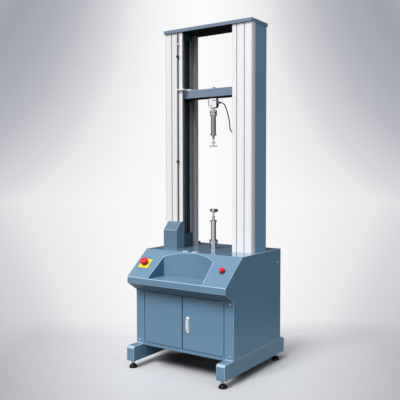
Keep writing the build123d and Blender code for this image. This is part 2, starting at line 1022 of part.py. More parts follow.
def load_cell():
    with BuildPart() as cell:
        with BuildSketch(facing(load_axis_y + cell_thickness / 2)):
            with Locations((0, cell_middle)):
                RectangleRounded(cell_width, cell_height, cell_corner)
            for shift in (-1, 1):
                slot_x = shift * (cell_width - cell_slot_length) / 2
                with Locations((slot_x, cell_middle + shift * cell_slot_offset)):
                    Rectangle(cell_slot_length, cell_slot, mode=Mode.SUBTRACT)
        extrude(amount=cell_thickness)
        with BuildSketch(across(cell_width / 2 - edge_break)):
            with Locations((load_axis_y, cable_route[0][2])):
                Circle(cell_outlet_diameter / 2)
        extrude(amount=cell_outlet_length + edge_break)
        post(0, load_axis_y, ring_bottom, cell_bottom - ring_bottom, cell_stud_diameter)
        stud_top = crosshead_top + cell_nut_height
        post(0, load_axis_y, cell_top, stud_top - cell_top, cell_stud_diameter)
        with BuildSketch(level(crosshead_top)):
            with Locations((0, load_axis_y)):
                RegularPolygon(cell_nut_diameter / 2, 6, major_radius=False)
        extrude(amount=cell_nut_height - 2 * edge_break)
    return cell


def upper_lock_rings():
    low = ring_bottom + safe_gap
    second = low + lock_ring_height + lock_ring_gap
    with BuildPart() as rings:
        for z in (low, second):
            post(0, load_axis_y, z, lock_ring_height, lock_ring_diameter)
        rims = rings.edges().filter_by(GeomType.CIRCLE)
        chamfer(rims, length=2 * edge_break)
        post(0, load_axis_y, low, second - low, grip_diameter)
        bore = cell_stud_diameter + 2 * running_gap
        post(0, load_axis_y, ring_bottom, ring_top - ring_bottom + overrun, bore, Mode.SUBTRACT)
    return rings


def upper_grip_body():
    with BuildPart() as body:
        turned(0, load_axis_y, [
            (grip_bottom, ring_bottom, grip_diameter),
            (flange_bottom, grip_bottom, grip_flange_diameter),
        ])
        with BuildSketch(level(cone_bottom)):
            with Locations((0, load_axis_y)):
                Circle(grip_cone_end / 2)
        with BuildSketch(level(flange_bottom)):
            with Locations((0, load_axis_y)):
                Circle(grip_cone_start / 2)
        loft()
    return body


def presser_foot():
    collar_top = cone_bottom - presser_collar_drop
    disc_top = presser_bottom + presser_disc
    with BuildPart() as foot:
        turned(0, load_axis_y, [
            (disc_top, cone_bottom, presser_rod_diameter),
            (collar_top - presser_collar, collar_top, presser_collar_diameter),
            (presser_bottom, disc_top, presser_disc_diameter),
        ])
    return foot


# Load cell cable
def corner_radii(points):
    radii = []
    for before, here, after in zip(points, points[1:], points[2:]):
        first = Vector(*here) - Vector(*before)
        second = Vector(*after) - Vector(*here)
        half_turn = radians(first.get_angle(second)) / 2
        radii.append(corner_share * min(first.length, second.length) / tan(half_turn))
    return radii


def load_cell_cable():
    radii = corner_radii(cable_route)
    with BuildPart() as cable:
        with BuildLine() as path:
            FilletPolyline(*cable_route, radius=radii)
        route = path.wires()[0]
        with BuildSketch(Plane(origin=route @ 0, z_dir=route % 0)):
            Circle(cable_diameter / 2)
        sweep(path=route)
    length = route.length
    expected = length * pi * cable_diameter ** 2 / 4
    print("cable length", round(length, 1), "radii", [round(r) for r in radii])
    print("cable volume over section times length", round(cable.part.volume / expected, 4))
    return cable


def cable_gland():
    with BuildPart() as gland:
        with BuildSketch(level(crosshead_bottom - gland_height)):
            with Locations((gland_x, load_axis_y)):
                RegularPolygon(gland_diameter / 2, 6, major_radius=False)
        extrude(amount=gland_height)
        post(gland_x, load_axis_y, crosshead_bottom, crosshead_height, gland_thread_diameter)
    return gland


# Limit rod and its parts
def limit_arm():
    face = column_front - arm_face_gap
    outer_x = limit_rod_x - arm_width / 2
    inner_x = -(column_inner - arm_side_gap)
    with BuildPart() as arm:
        with BuildSketch(level(crosshead_top)):
            Polygon(
                (outer_x, face),
                (outer_x, face - arm_width),
                (inner_x + arm_width, face - arm_width),
                (inner_x + arm_width, crosshead_front),
                (inner_x + arm_foot_width, crosshead_front),
                (inner_x + arm_foot_width, crosshead_front + arm_foot_length),
                (inner_x, crosshead_front + arm_foot_length),
                (inner_x, face),
                align=None,
            )
            with Locations((limit_rod_x, limit_rod_y)):
                Circle(arm_hole_diameter / 2, mode=Mode.SUBTRACT)
        extrude(amount=arm_thickness)
    return arm


def limit_rod():
    with BuildPart() as rod:
        top = top_under - limit_rod_top_gap
        post(limit_rod_x, limit_rod_y, limit_rod_bottom, top - limit_rod_bottom, limit_rod_diameter)
    return rod


def stop_collar(z):
    with BuildPart() as collar:
        post(limit_rod_x, limit_rod_y, z, collar_height, collar_diameter)
        chamfer(collar.edges().filter_by(GeomType.CIRCLE), length=edge_break)
        bore = limit_rod_diameter + 2 * running_gap
        post(limit_rod_x, limit_rod_y, z - overrun, collar_height + 2 * overrun, bore, Mode.SUBTRACT)
    return collar


def limit_switch_box():
    box_front = column_front - box_reach
    slant_front = box_front + box_slant
    with BuildPart() as case:
        with BuildSketch(across(box_left)):
            Polygon(
                (column_front, deck_height),
                (box_front, deck_height),
                (box_front, deck_height + box_front_height),
                (slant_front, deck_height + box_height),
                (column_front, deck_height + box_height),
                align=None,
            )
        extrude(amount=box_width)
        drop = sheet * hypot(box_slant, box_height - box_front_height) / box_slant
        rise = (box_height - box_front_height) / box_slant
        with BuildSketch(across(box_left + sheet)):
            Polygon(
                (column_front + overrun, deck_height - overrun),
                (box_front + sheet, deck_height - overrun),
                (box_front + sheet, deck_height + box_front_height - drop + sheet * rise),
                (slant_front + (drop - sheet) / rise, deck_height + box_height - sheet),
                (column_front + overrun, deck_height + box_height - sheet),
                align=None,
            )
        extrude(amount=box_width - 2 * sheet, mode=Mode.SUBTRACT)
        hole = limit_rod_diameter + 2 * safe_gap
        post(limit_rod_x, limit_rod_y, deck_height + box_height - overrun, 2 * overrun, hole, Mode.SUBTRACT)
    return case


# Lower jig
vise_bottom = jig_body_top + jig_flange + jig_neck_height + jig_tip_height
vise_screw_z = vise_bottom + vise_height - vise_screw_drop


def jig_body():
    flange_top = jig_body_top + jig_flange
    neck_top = flange_top + jig_neck_height
    with BuildPart() as body:
        turned(0, load_axis_y, [
            (deck_height - jig_stud_length, deck_height, jig_stud_diameter),
            (deck_height, deck_height + jig_foot_height, jig_foot_diameter),
            (deck_height + jig_foot_height, jig_body_top, jig_diameter),
            (jig_body_top, flange_top, jig_flange_diameter),
            (flange_top, neck_top, jig_neck_diameter),
            (neck_top, neck_top + jig_tip_height, jig_tip_diameter),
        ])
    return body


def jig_lock_ring():
    low = deck_height + jig_foot_height + safe_gap
    with BuildPart() as ring:
        post(0, load_axis_y, low, jig_ring_height, jig_ring_diameter)
        chamfer(ring.edges().filter_by(GeomType.CIRCLE), length=2 * edge_break)
        bore = jig_diameter + 2 * running_gap
        post(0, load_axis_y, low - overrun, jig_ring_height + 2 * overrun, bore, Mode.SUBTRACT)
    return ring


def vise_head():
    half = vise_width / 2
    high = vise_bottom + vise_height
    bore = vise_screw_diameter + 2 * running_gap
    with BuildPart() as head:
        box_between((-half, half), (load_axis_y - half, load_axis_y + half), (vise_bottom, high))
        chamfer(head.edges().filter_by(Axis.Z), length=2 * edge_break)
        cut_between(
            (-vise_slot / 2, vise_slot / 2),
            (load_axis_y - vise_width, load_axis_y + vise_width),
            (high - vise_slot_depth, high + overrun),
        )
        with BuildSketch(across(0)):
            with Locations((load_axis_y, vise_screw_z)):
                Circle(bore / 2)
        extrude(amount=vise_width, mode=Mode.SUBTRACT)
        with BuildSketch(across(-half - vise_knob_gap)):
            with Locations((load_axis_y, vise_screw_z)):
                Circle(vise_screw_diameter / 2)
        extrude(amount=vise_knob_gap)
        with BuildSketch(across(-half - vise_knob_gap - anvil_knob_length)):
            with Locations((load_axis_y, vise_screw_z)):
                Circle(vise_knob_diameter / 2)
        extrude(amount=anvil_knob_length)
    return head


def vise_screw():
    half = vise_width / 2
    with BuildPart() as screw:
        with BuildSketch(across(vise_slot / 2)):
            with Locations((load_axis_y, vise_screw_z)):
                Circle(vise_screw_diameter / 2)
        extrude(amount=half + vise_knob_gap - vise_slot / 2)
        with BuildSketch(across(half + vise_knob_gap)):
            with Locations((load_axis_y, vise_screw_z)):
                Circle(vise_knob_diameter / 2)
        extrude(amount=vise_knob_length)
        fillet(screw.faces().sort_by(Axis.X)[-1].edges(), radius=edge_break)
    return screw


# Emergency stop and push button
def estop_yellow_plate():
    with BuildPart() as plate:
        with BuildSketch(on_slope(estop_x)):
            RectangleRounded(estop_plate_width, estop_plate_width, 2 * edge_break)
            Circle(barrel_diameter / 2, mode=Mode.SUBTRACT)
        extrude(amount=estop_plate)
    return plate


def estop_head():
    head_low = estop_plate + estop_collar_height + estop_travel + safe_gap
    with BuildPart() as head:
        with BuildSketch(on_slope(estop_x, head_low)):
            Circle(estop_head_diameter / 2)
        extrude(amount=estop_head_height)
        top = head.faces().sort_by(Axis((0, 0, 0), (0, -slope_rise, slope_run)))[-1]
        fillet(top.edges(), radius=estop_dome)
        with BuildSketch(on_slope(estop_x, head_low)):
            Circle(plunger_diameter / 2)
        extrude(amount=-plunger_length)
    return head


def switch_bodies():
    stop_top = estop_plate + estop_collar_height
    stop_bore_depth = plunger_length + estop_travel
    block_depth = sheet + contact_block_depth
    bore = plunger_diameter + 2 * running_gap
    with BuildPart() as bodies:
        with BuildSketch(on_slope(estop_x, estop_plate)):
            Circle(estop_collar_diameter / 2)
        extrude(amount=estop_collar_height)
        with BuildSketch(on_slope(button_x)):
            Circle(bezel_diameter / 2)
        extrude(amount=bezel_height)
        for x, high in ((estop_x, estop_plate), (button_x, 0)):
            with BuildSketch(on_slope(x, -sheet)):
                Circle(barrel_diameter / 2)
            extrude(amount=high + sheet)
            with BuildSketch(on_slope(x, -block_depth)):
                Rectangle(contact_block_width, contact_block_width)
            extrude(amount=contact_block_depth)
        with BuildSketch(on_slope(estop_x, stop_top)):
            Circle(bore / 2)
        extrude(amount=-stop_bore_depth, mode=Mode.SUBTRACT)
        with BuildSketch(on_slope(button_x, bezel_height)):
            Circle(cap_diameter / 2 + running_gap)
        extrude(amount=-(bezel_height - cap_well), mode=Mode.SUBTRACT)
        with BuildSketch(on_slope(button_x, bezel_height)):
            Circle(bore / 2)
        extrude(amount=-stop_bore_depth, mode=Mode.SUBTRACT)
        switch_top = limit_rod_bottom - switch_gap
        half = switch_width / 2
        box_between(
            (limit_rod_x - half, limit_rod_x + half),
            (column_front - switch_depth, column_front),
            (deck_height, switch_top),
        )
    return bodies


def button_cap():
    low = cap_well + cap_travel + safe_gap
    plunger = plunger_length / 2
    with BuildPart() as cap:
        with BuildSketch(on_slope(button_x, low)):
            Circle(cap_diameter / 2)
        extrude(amount=cap_height)
        top = cap.faces().sort_by(Axis((0, 0, 0), (0, -slope_rise, slope_run)))[-1]
        fillet(top.edges(), radius=2 * edge_break)
        with BuildSketch(on_slope(button_x, low)):
            Circle(plunger_diameter / 2)
        extrude(amount=-plunger)
    return cap


# Deck plugs and fasteners
def deck_plugs():
    with BuildPart() as plugs:
        for x in plug_places:
            post(x, plug_y, deck_height, plug_height, plug_diameter)
            post(x, plug_y, deck_under, sheet, plug_stub_diameter)
        post(grommet_x, grommet_y, deck_height, grommet_height, grommet_diameter)
        post(grommet_x, grommet_y, deck_under, sheet, grommet_diameter / 2)
    return plugs


def panel_screw(plane):
    with BuildSketch(plane) as head:
        Circle(screw_head_diameter / 2)
    extrude(head.sketch, amount=screw_head_height)
    with BuildSketch(plane) as shank:
        Circle(screw_shank_diameter / 2)
    extrude(shank.sketch, amount=-sheet)


def top_screws():
    head_low = overall_height - top_screw_head_height
    for x, y in top_screw_places():
        post(x, y, head_low, top_screw_head_height - edge_break, top_screw_head_diameter)
        post(x, y, top_under, head_low - top_under, top_screw_diameter)


def fasteners():
    with BuildPart() as screws:
        for x, z in stile_screw_places():
            panel_screw(Plane(origin=(x, front, z), x_dir=(1, 0, 0), z_dir=(0, -1, 0)))
        for x, z in back_screw_places():
            panel_screw(Plane(origin=(x, rear, z), x_dir=(1, 0, 0), z_dir=(0, 1, 0)))
        for side in (-1, 1):
            place = (side * half_width, side_screw_y, side_screw_z)
            panel_screw(Plane(origin=place, x_dir=(0, 1, 0), z_dir=(side, 0, 0)))
        top_screws()
        box_between(
            (limit_rod_x - clip_width / 2, limit_rod_x + clip_width / 2),
            (limit_rod_y - limit_rod_diameter, column_front),
            (clip_z, clip_z + clip_height),
        )
        bore = limit_rod_diameter + 2 * running_gap
        post(limit_rod_x, limit_rod_y, clip_z - overrun, clip_height + 2 * overrun, bore, Mode.SUBTRACT)
    return screws


# Every piece is made and written under its own name
for name, side in (("left", -1), ("right", 1)):
    save(leg_beam(side), f"leg_beam_{name}")
    save(levelling_foot(side * foot_x, foot_front_y), f"foot_front_{name}")
    save(levelling_foot(side * foot_x, foot_rear_y), f"foot_rear_{name}")
    save(side_panel(side), f"side_panel_{name}")
    save(door(side), f"door_{name}")
    save(column_front_profile(side), f"column_front_{name}")
    save(lead_screw(side), f"lead_screw_{name}")
save(back_panel(), "back_panel")
save(floor_panel(), "floor_panel")
save(front_frame(), "front_frame")
save(frame_posts(), "frame_posts")
save(console_skin(), "console_skin")
save(console_tray(), "console_tray")
save(deck_plate(), "deck_plate")
save(base_plate(), "base_plate")
save(door_hinges(), "door_hinges")
save(handle_base(), "handle_base")
save(handle_lever(), "handle_lever")
save(column_rear_profiles(), "column_rear_profiles")
save(column_covers(), "column_covers")
save(dust_strips(), "dust_strips")
save(top_plate(), "top_plate")
save(guide_rods(), "guide_rods")
save(screw_bearings(), "screw_bearings")
save(drive_motor(), "drive_motor")
save(motor_pulley(), "motor_pulley")
save(drive_belt(), "drive_belt")
save(control_box(), "control_box")
save(mains_inlet(), "mains_inlet")
save(crosshead_beam(), "crosshead_beam")
save(crosshead_bushes(), "crosshead_bushes")
save(load_cell(), "load_cell")
save(upper_lock_rings(), "upper_lock_rings")
save(upper_grip_body(), "upper_grip_body")
save(presser_foot(), "presser_foot")
save(load_cell_cable(), "load_cell_cable")
save(cable_gland(), "cable_gland")
save(limit_arm(), "limit_arm")
save(limit_rod(), "limit_rod")
save(stop_collar(upper_collar_z), "stop_collar_upper")
save(stop_collar(lower_collar_z), "stop_collar_lower")
save(limit_switch_box(), "limit_switch_box")
save(jig_body(), "jig_body")
save(jig_lock_ring(), "jig_lock_ring")
save(vise_head(), "vise_head")
save(vise_screw(), "vise_screw")
save(estop_yellow_plate(), "estop_plate")
save(estop_head(), "estop_head")
save(switch_bodies(), "switch_bodies")
save(button_cap(), "button_cap")
save(deck_plugs(), "deck_plugs")
save(fasteners(), "fasteners")
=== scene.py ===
# Two-column universal testing machine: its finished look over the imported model
import bpy
import bmesh
import json
import math
from mathutils import Matrix, Vector


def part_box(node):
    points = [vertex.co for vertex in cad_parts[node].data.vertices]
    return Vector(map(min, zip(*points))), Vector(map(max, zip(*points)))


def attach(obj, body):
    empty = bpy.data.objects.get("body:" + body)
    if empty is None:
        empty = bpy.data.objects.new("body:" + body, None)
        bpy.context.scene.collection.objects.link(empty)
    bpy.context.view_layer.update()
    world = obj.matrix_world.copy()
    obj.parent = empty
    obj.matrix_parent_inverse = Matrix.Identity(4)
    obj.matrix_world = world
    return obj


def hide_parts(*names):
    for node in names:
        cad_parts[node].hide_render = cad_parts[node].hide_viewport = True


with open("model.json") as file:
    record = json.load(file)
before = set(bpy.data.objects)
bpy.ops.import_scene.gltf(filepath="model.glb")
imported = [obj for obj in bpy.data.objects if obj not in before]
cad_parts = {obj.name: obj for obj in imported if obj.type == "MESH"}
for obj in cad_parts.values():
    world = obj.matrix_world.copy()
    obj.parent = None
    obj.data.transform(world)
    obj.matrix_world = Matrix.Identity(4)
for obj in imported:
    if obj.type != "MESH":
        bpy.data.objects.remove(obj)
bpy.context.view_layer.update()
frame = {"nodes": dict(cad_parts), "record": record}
nodes = frame["nodes"]
bodies = frame["record"]["behaviour"]["bodies"]
bodyOf = {node: body for body, group in bodies.items() for node in group}
collection = bpy.context.scene.collection
print("frame loaded:", len(nodes), "nodes")


# camera at the photograph's viewing angle, turns in degrees
camera = {"place": (1.815, -2.715, 1.032), "turn": 34.43, "down": 2.71, "roll": -0.10, "lens": 55.2}


def turned(angle, axis):
    return Matrix.Rotation(math.radians(angle), 4, axis)


def at(*place):
    return Matrix.Translation(place)


def makeCamera(values):
    eye = bpy.data.cameras.new("camera")
    eye.lens = values["lens"]
    eye.sensor_width = 36
    seat = bpy.data.objects.new("camera", eye)
    collection.objects.link(seat)
    seat.matrix_world = (at(*values["place"]) @ turned(values["turn"], "Z")
                         @ turned(90 - values["down"], "X") @ turned(values["roll"], "Z"))
    bpy.context.scene.camera = seat


makeCamera(camera)
print("camera set")


# node helpers: a value that is a socket is linked, and tells the tree, and any other is set
def added(kind, values=None, tree=None, **settings):
    values = values or {}
    linked = [key for key, value in values.items() if isinstance(value, bpy.types.NodeSocket)]
    tree = tree or values[linked[0]].id_data
    made = tree.nodes.new("ShaderNode" + kind)
    for name, value in settings.items():
        setattr(made, name, value)
    for key, value in values.items():
        if key in linked:
            tree.links.new(value, made.inputs[key])
        else:
            made.inputs[key].default_value = value
    return made


def calc(operation, *values):
    return added("Math", dict(enumerate(values)), operation=operation).outputs[0]


def times(first, second):
    return calc("MULTIPLY", first, second)


def scaled(value, factor, more):
    return calc("MULTIPLY_ADD", value, factor, more)


def dot(vector, direction):
    return added("VectorMath", {0: vector, 1: direction}, operation="DOT_PRODUCT").outputs["Value"]


def remap(value, fromLow, fromHigh, toLow, toHigh):
    spans = {"From Min": fromLow, "From Max": fromHigh, "To Min": toLow, "To Max": toHigh}
    return added("MapRange", {"Value": value, **spans}).outputs["Result"]


def mixColour(factor, first, second, how="MIX"):
    made = added("Mix", {0: factor, 6: first, 7: second}, data_type="RGBA", blend_type=how)
    return made.outputs[2]  # 6, 7 and 2 are the colour sockets


def noise(vector, scale, detail=2.0, rough=0.5):
    values = {"Vector": vector, "Scale": scale, "Detail": detail, "Roughness": rough}
    return added("TexNoise", values).outputs["Fac"]


def about(value, swing, middle):
    return scaled(calc("SUBTRACT", value, 0.5), swing, middle)


def emptyTree(owner):
    owner.use_nodes = True
    owner.node_tree.nodes.clear()
    return owner.node_tree


# effects: each takes and gives a colour, a roughness and a height
def shaded(given, tone):
    return mixColour(1.0, given["Colour"], tone, "MULTIPLY")


def raised(given, height):
    return scaled(height, given["Depth"], given["Height"])


def orangePeel(given, place):
    bumps = noise(place, given["Scale"], 2.0, 0.55)
    specks = noise(place, given["Speck Scale"], 1.0)
    patches = noise(place, given["Patch Scale"], 3.0, 0.6)
    tone = about(specks, given["Speck"], about(patches, given["Patch"], 1.0))
    dull = about(patches, given["Patch Dull"], given["Roughness"])
    return shaded(given, tone), dull, raised(given, bumps)


def drawnLines(given, place):
    drawn = added("Mapping", {"Vector": place, "Scale": given["Stretch"]}).outputs["Vector"]
    marks = noise(drawn, 1.0, 3.0, 0.65)
    dull = about(marks, given["Dull"], given["Roughness"])
    return shaded(given, about(marks, given["Shade"], 1.0)), dull, raised(given, marks)


def mouldedGrain(given, place):
    cells = added("TexVoronoi", {"Vector": place, "Scale": given["Scale"]}).outputs["Distance"]
    patches = noise(place, given["Patch Scale"], 3.0, 0.6)
    dull = about(patches, given["Patch Dull"], given["Roughness"])
    return shaded(given, about(patches, given["Patch"], 1.0)), dull, raised(given, cells)


# lighter colour on marked edges: partly paint wear, partly a painted highlight along the edges
def edgeWearAndHighlight(given, place):
    marked = added("Attribute", tree=place.id_data, attribute_name="edge").outputs["Fac"]
    broken = remap(noise(place, given["Break Scale"], 3.0, 0.6), 0.30, 0.62, 0.62, 1.0)
    mask = times(times(marked, broken), given["Amount"])
    polish = scaled(mask, given["Polish"], given["Roughness"])
    return mixColour(mask, given["Colour"], given["Worn"]), polish, given["Height"]


def settledDust(given, place):
    normal = added("NewGeometry", tree=place.id_data).outputs["Normal"]
    facing = added("SeparateXYZ", {0: normal})
    up = remap(facing.outputs["Z"], 0.55, 0.95, 0.0, 1.0)
    specks = remap(noise(place, given["Speck Scale"], 5.0, 0.7), 0.46, 0.66, 0.15, 1.0)
    mask = times(times(up, specks), given["Amount"])
    dull = scaled(mask, given["Dull"], given["Roughness"])
    return mixColour(mask, given["Colour"], given["Dust"]), dull, given["Height"]


trio = {"Colour": "NodeSocketColor", "Roughness": "NodeSocketFloat", "Height": "NodeSocketFloat"}
effects = {
    orangePeel: {"Scale": 750.0, "Depth": 0.5, "Patch": 0.05, "Patch Scale": 3.2, "Patch Dull": 0.16,
                 "Speck": 0.10, "Speck Scale": 2600.0},
    drawnLines: {"Stretch": (900.0, 900.0, 6.0), "Shade": 0.06, "Depth": 0.3, "Dull": 0.22},
    mouldedGrain: {"Scale": 1500.0, "Depth": 0.4, "Patch": 0.06, "Patch Scale": 18.0, "Patch Dull": 0.2},
    edgeWearAndHighlight: {"Worn": (0.4, 0.5, 0.6, 1.0), "Amount": 0.6, "Break Scale": 60.0, "Polish": -0.10},
    settledDust: {"Dust": (0.55, 0.55, 0.53, 1.0), "Amount": 0.08, "Speck Scale": 240.0, "Dull": 0.5},
}


def groupOf(effect, settings):
    tree = bpy.data.node_groups.new(effect.__name__, "ShaderNodeTree")
    for label, kind in trio.items():
        for side in ("INPUT", "OUTPUT"):
            tree.interface.new_socket(label, in_out=side, socket_type=kind)
    for label, value in settings.items():
        kind = "Float" if isinstance(value, float) else "Color" if len(value) == 4 else "Vector"
        socket = tree.interface.new_socket(label, in_out="INPUT", socket_type="NodeSocket" + kind)
        socket.default_value = value
    given = tree.nodes.new("NodeGroupInput").outputs
    back = tree.nodes.new("NodeGroupOutput").inputs
    place = added("TexCoord", tree=tree).outputs["Object"]
    for label, result in zip(trio, effect(given, place)):
        tree.links.new(result, back[label])
    return tree


groups = {effect: groupOf(effect, settings) for effect, settings in effects.items()}


# finishes: colour in linear light, roughness, effects, bump strength, shader sockets, bump depth
def finishOf(name, colour, roughness, steps, strength, sockets=None, bump=0.0002):
    made = bpy.data.materials.new(name)
    tree = emptyTree(made)
    last = {"Colour": (*colour, 1.0), "Roughness": roughness}
    for kind, values in steps:
        step = added("Group", {**last, **values}, tree, node_tree=groups[kind])
        last = {label: step.outputs[label] for label in trio}
    relief = added("Bump", {"Strength": strength, "Distance": bump, "Height": last["Height"]})
    skin = added("BsdfPrincipled", {"Base Color": last["Colour"], "Roughness": last["Roughness"],
                                    "Normal": relief.outputs["Normal"], **(sockets or {})})
    added("OutputMaterial", {"Surface": skin.outputs["BSDF"]})
    return made


def peel(scale, depth, patch):
    return orangePeel, {"Scale": scale, "Depth": depth, "Patch": patch}


def lines(across, along, shade, depth):
    return drawnLines, {"Stretch": (across, across, along), "Shade": shade, "Depth": depth}


def grain(scale, depth, patch):
    return mouldedGrain, {"Scale": scale, "Depth": depth, "Patch": patch}


def wornAndHighlit(colour, amount):
    colour = colour if isinstance(colour, tuple) else (colour,) * 3  # one number is a grey
    return edgeWearAndHighlight, {"Worn": (*colour, 1.0), "Amount": amount}


def dust(amount):
    return settledDust, {"Amount": amount}


paintPeel = peel(700.0, 0.5, 0.10)
# the blue paint's lighter edge colour: partly wear, partly a painted highlight
paintEdge = wornAndHighlit((0.42, 0.55, 0.66), 0.95)
coat = [paintPeel, paintEdge, dust(0.10)]
coatRelief = (0.25, {}, 0.00025)
drawn = lines(1400.0, 5.0, 0.05, 0.3)
drawnRelief = (0.15, {"Metallic": 0.25})
metal = {"Metallic": 1.0}
gloss = "Specular IOR Level"

recipes = {
    "bluePaint": ((0.106, 0.205, 0.303), 0.42, coat, *coatRelief),
    # painted light: the column covers take a lighter copy of the blue paint
    "coverLitPaint": ((0.150, 0.268, 0.392), 0.42, coat, *coatRelief),
    # painted shade: the limit switch box takes a darker copy of the blue paint
    "boxPaint": ((0.086, 0.152, 0.224), 0.42, coat, *coatRelief),
    "deckPaint": ((0.100, 0.195, 0.290), 0.15, [peel(420.0, 0.25, 0.08), paintEdge, dust(0.04)], 0.10,
                  {"Coat Weight": 0.35, "Coat Roughness": 0.06}),
    "beamPaint": ((0.150, 0.205, 0.285), 0.40, [paintPeel, wornAndHighlit((0.48, 0.56, 0.64), 0.75), dust(0.10)],
                  *coatRelief),
    # painted shade: a darker copy of the blue paint for the tray's end walls
    "trayShadePaint": ((0.029, 0.102, 0.190), 0.42, [paintPeel, dust(0.10)], *coatRelief),
    "shadedPaint": ((0.034, 0.078, 0.130), 0.50, [peel(600.0, 0.5, 0.2), dust(0.05)], 0.25, {gloss: 0.3}),
    "columnMetal": ((0.79, 0.775, 0.78), 0.42, [drawn, wornAndHighlit(0.95, 0.4)], *drawnRelief),
    # painted shade: a darker copy of the column metal for the grooves
    "grooveShadeMetal": ((0.47, 0.455, 0.465), 0.50, [drawn], *drawnRelief),
    "shadedMetal": ((0.20, 0.185, 0.215), 0.45, [drawn], *drawnRelief),
    # painted shade: a darker copy of the column metal for the rear profiles' faces towards the front
    "rearMetal": ((0.42, 0.42, 0.435), 0.50, [drawn], *drawnRelief),
    "chrome": ((0.62, 0.62, 0.63), 0.12, [lines(30.0, 1800.0, 0.05, 0.2), wornAndHighlit(0.95, 0.5)], 0.06, metal),
    "satinChrome": ((0.82, 0.82, 0.83), 0.30, [lines(40.0, 1500.0, 0.06, 0.2), wornAndHighlit(0.97, 0.5)], 0.08,
                    {"Metallic": 0.45}),
    "brightSteel": ((0.62, 0.62, 0.63), 0.28,
                    [lines(60.0, 1500.0, 0.10, 0.3), wornAndHighlit((0.85, 0.85, 0.86), 0.5)], 0.12, metal),
    "gripSteel": ((0.33, 0.33, 0.34), 0.28, [lines(50.0, 1600.0, 0.18, 0.4), wornAndHighlit(0.8, 0.6)], 0.15, metal),
    "cellSilver": ((0.74, 0.74, 0.755), 0.24,
                   [lines(900.0, 60.0, 0.05, 0.2), wornAndHighlit(0.95, 0.4)], 0.10, metal),
    "darkSteel": ((0.13, 0.13, 0.135), 0.38, [lines(50.0, 1600.0, 0.22, 0.4), wornAndHighlit(0.5, 0.45)], 0.18,
                  {"Metallic": 0.85}),
    "bronze": ((0.52, 0.30, 0.11), 0.34, [lines(60.0, 1500.0, 0.15, 0.3), wornAndHighlit((0.8, 0.55, 0.28), 0.5)],
               0.12, metal),
    "zinc": ((0.62, 0.61, 0.58), 0.36, [grain(260.0, 0.25, 0.4), wornAndHighlit((0.85, 0.84, 0.82), 0.5)], 0.12,
             {"Metallic": 0.95}),
    "innerFrame": ((0.030, 0.036, 0.044), 0.55, [peel(600.0, 0.5, 0.3), dust(0.2)], 0.3),
    # black of the collars, edging and seal, and painted shade on the undersides, inside the column covers
    # and round the load cell
    "linerBlack": ((0.007, 0.007, 0.009), 0.72, [peel(500.0, 0.5, 0.4), dust(0.03)], 0.25, {gloss: 0.2}),
    "blackPlastic": ((0.020, 0.020, 0.022), 0.42,
                     [grain(1500.0, 0.4, 0.3), wornAndHighlit(0.10, 0.5), dust(0.06)], 0.2),
    "footPlastic": ((0.005, 0.005, 0.006), 0.45, [grain(900.0, 0.4, 0.4), wornAndHighlit(0.12, 0.3), dust(0.03)],
                    0.2, {gloss: 0.15}),
    "redPlastic": ((0.66, 0.010, 0.014), 0.34,
                   [grain(1200.0, 0.15, 0.15), wornAndHighlit((0.85, 0.12, 0.10), 0.3)], 0.08, {gloss: 0.3}),
    "markPale": ((0.78, 0.12, 0.12), 0.40, [grain(1200.0, 0.15, 0.15)], 0.08),
    "yellowPlastic": ((0.90, 0.62, 0.008), 0.36,
                      [grain(1200.0, 0.2, 0.08), wornAndHighlit((0.98, 0.78, 0.15), 0.5)], 0.1),
    "cableJacket": ((0.004, 0.004, 0.005), 0.62, [grain(1100.0, 0.3, 0.4)], 0.15, {gloss: 0.2}),
    "stripRubber": ((0.066, 0.064, 0.068), 0.58, [lines(300.0, 420.0, 0.4, 0.6), dust(0.15)], 0.3),
    # painted light: the blue strip is lighter than its paint, to brighten it in the column's shade
    "stripLitBlue": ((0.62, 0.73, 0.88), 0.50, [lines(300.0, 420.0, 0.2, 0.5), dust(0.10)], 0.25),
    "beltRubber": ((0.018, 0.018, 0.019), 0.60, [grain(700.0, 0.5, 0.4)], 0.3),
}
finishes = {name: finishOf(name, *recipe) for name, recipe in recipes.items()}
print("finishes made:", len(finishes))


# modelling helpers; the edge attribute marks where the finish is worn and where a highlight is painted
# along edges
def edgeLayer(shape):
    layers = shape.loops.layers.float
    return layers.get("edge") or layers.new("edge")


def markWearAndHighlight(faces, layer, amount):
    for face in faces:
        for corner in face.loops:
            corner[layer] = amount


def soften(shape, width, steps=2, sharpFrom=35, least=0.0, pick=None, wear=1.0):
    layer = edgeLayer(shape)
    chosen = [
        edge for edge in shape.edges
        if len(edge.link_faces) == 2 and edge.calc_face_angle(0.0) > math.radians(sharpFrom)
        and edge.calc_length() > least and (pick is None or pick(edge))
    ]
    made = bmesh.ops.bevel(shape, geom=chosen, offset=width, offset_type="OFFSET", segments=steps,
                           profile=0.5, affect="EDGES", clamp_overlap=True, material=-1)
    markWearAndHighlight(made["faces"], layer, wear)
    return shape


# thin sheet edges are marked for the lighter edge colour, a painted highlight along them
def markThin(shape, thinnest):
    layer = edgeLayer(shape)
    thin = [face for face in shape.faces
            if face.calc_area() / max(edge.calc_length() for edge in face.edges) < thinnest]
    markWearAndHighlight(thin, layer, 0.85)


def moved(shape, matrix):
    bmesh.ops.transform(shape, matrix=matrix, verts=shape.verts)
    return shape


def only(geom, kind):
    return [part for part in geom if isinstance(part, kind)]


def outline(shape, places):
    points = [shape.verts.new(place) for place in places]
    return points + [shape.edges.new(pair) for pair in zip(points, points[1:])]


def block(low, high):
    shape = bmesh.new()
    size = Vector(high) - Vector(low)
    middle = (Vector(high) + Vector(low)) / 2
    bmesh.ops.create_cube(shape, size=1, matrix=at(*middle) @ Matrix.Diagonal((*size, 1)))
    return shape


def softBlock(low, high, width, steps=2, least=0.0):
    return soften(block(low, high), width, steps, least=least)


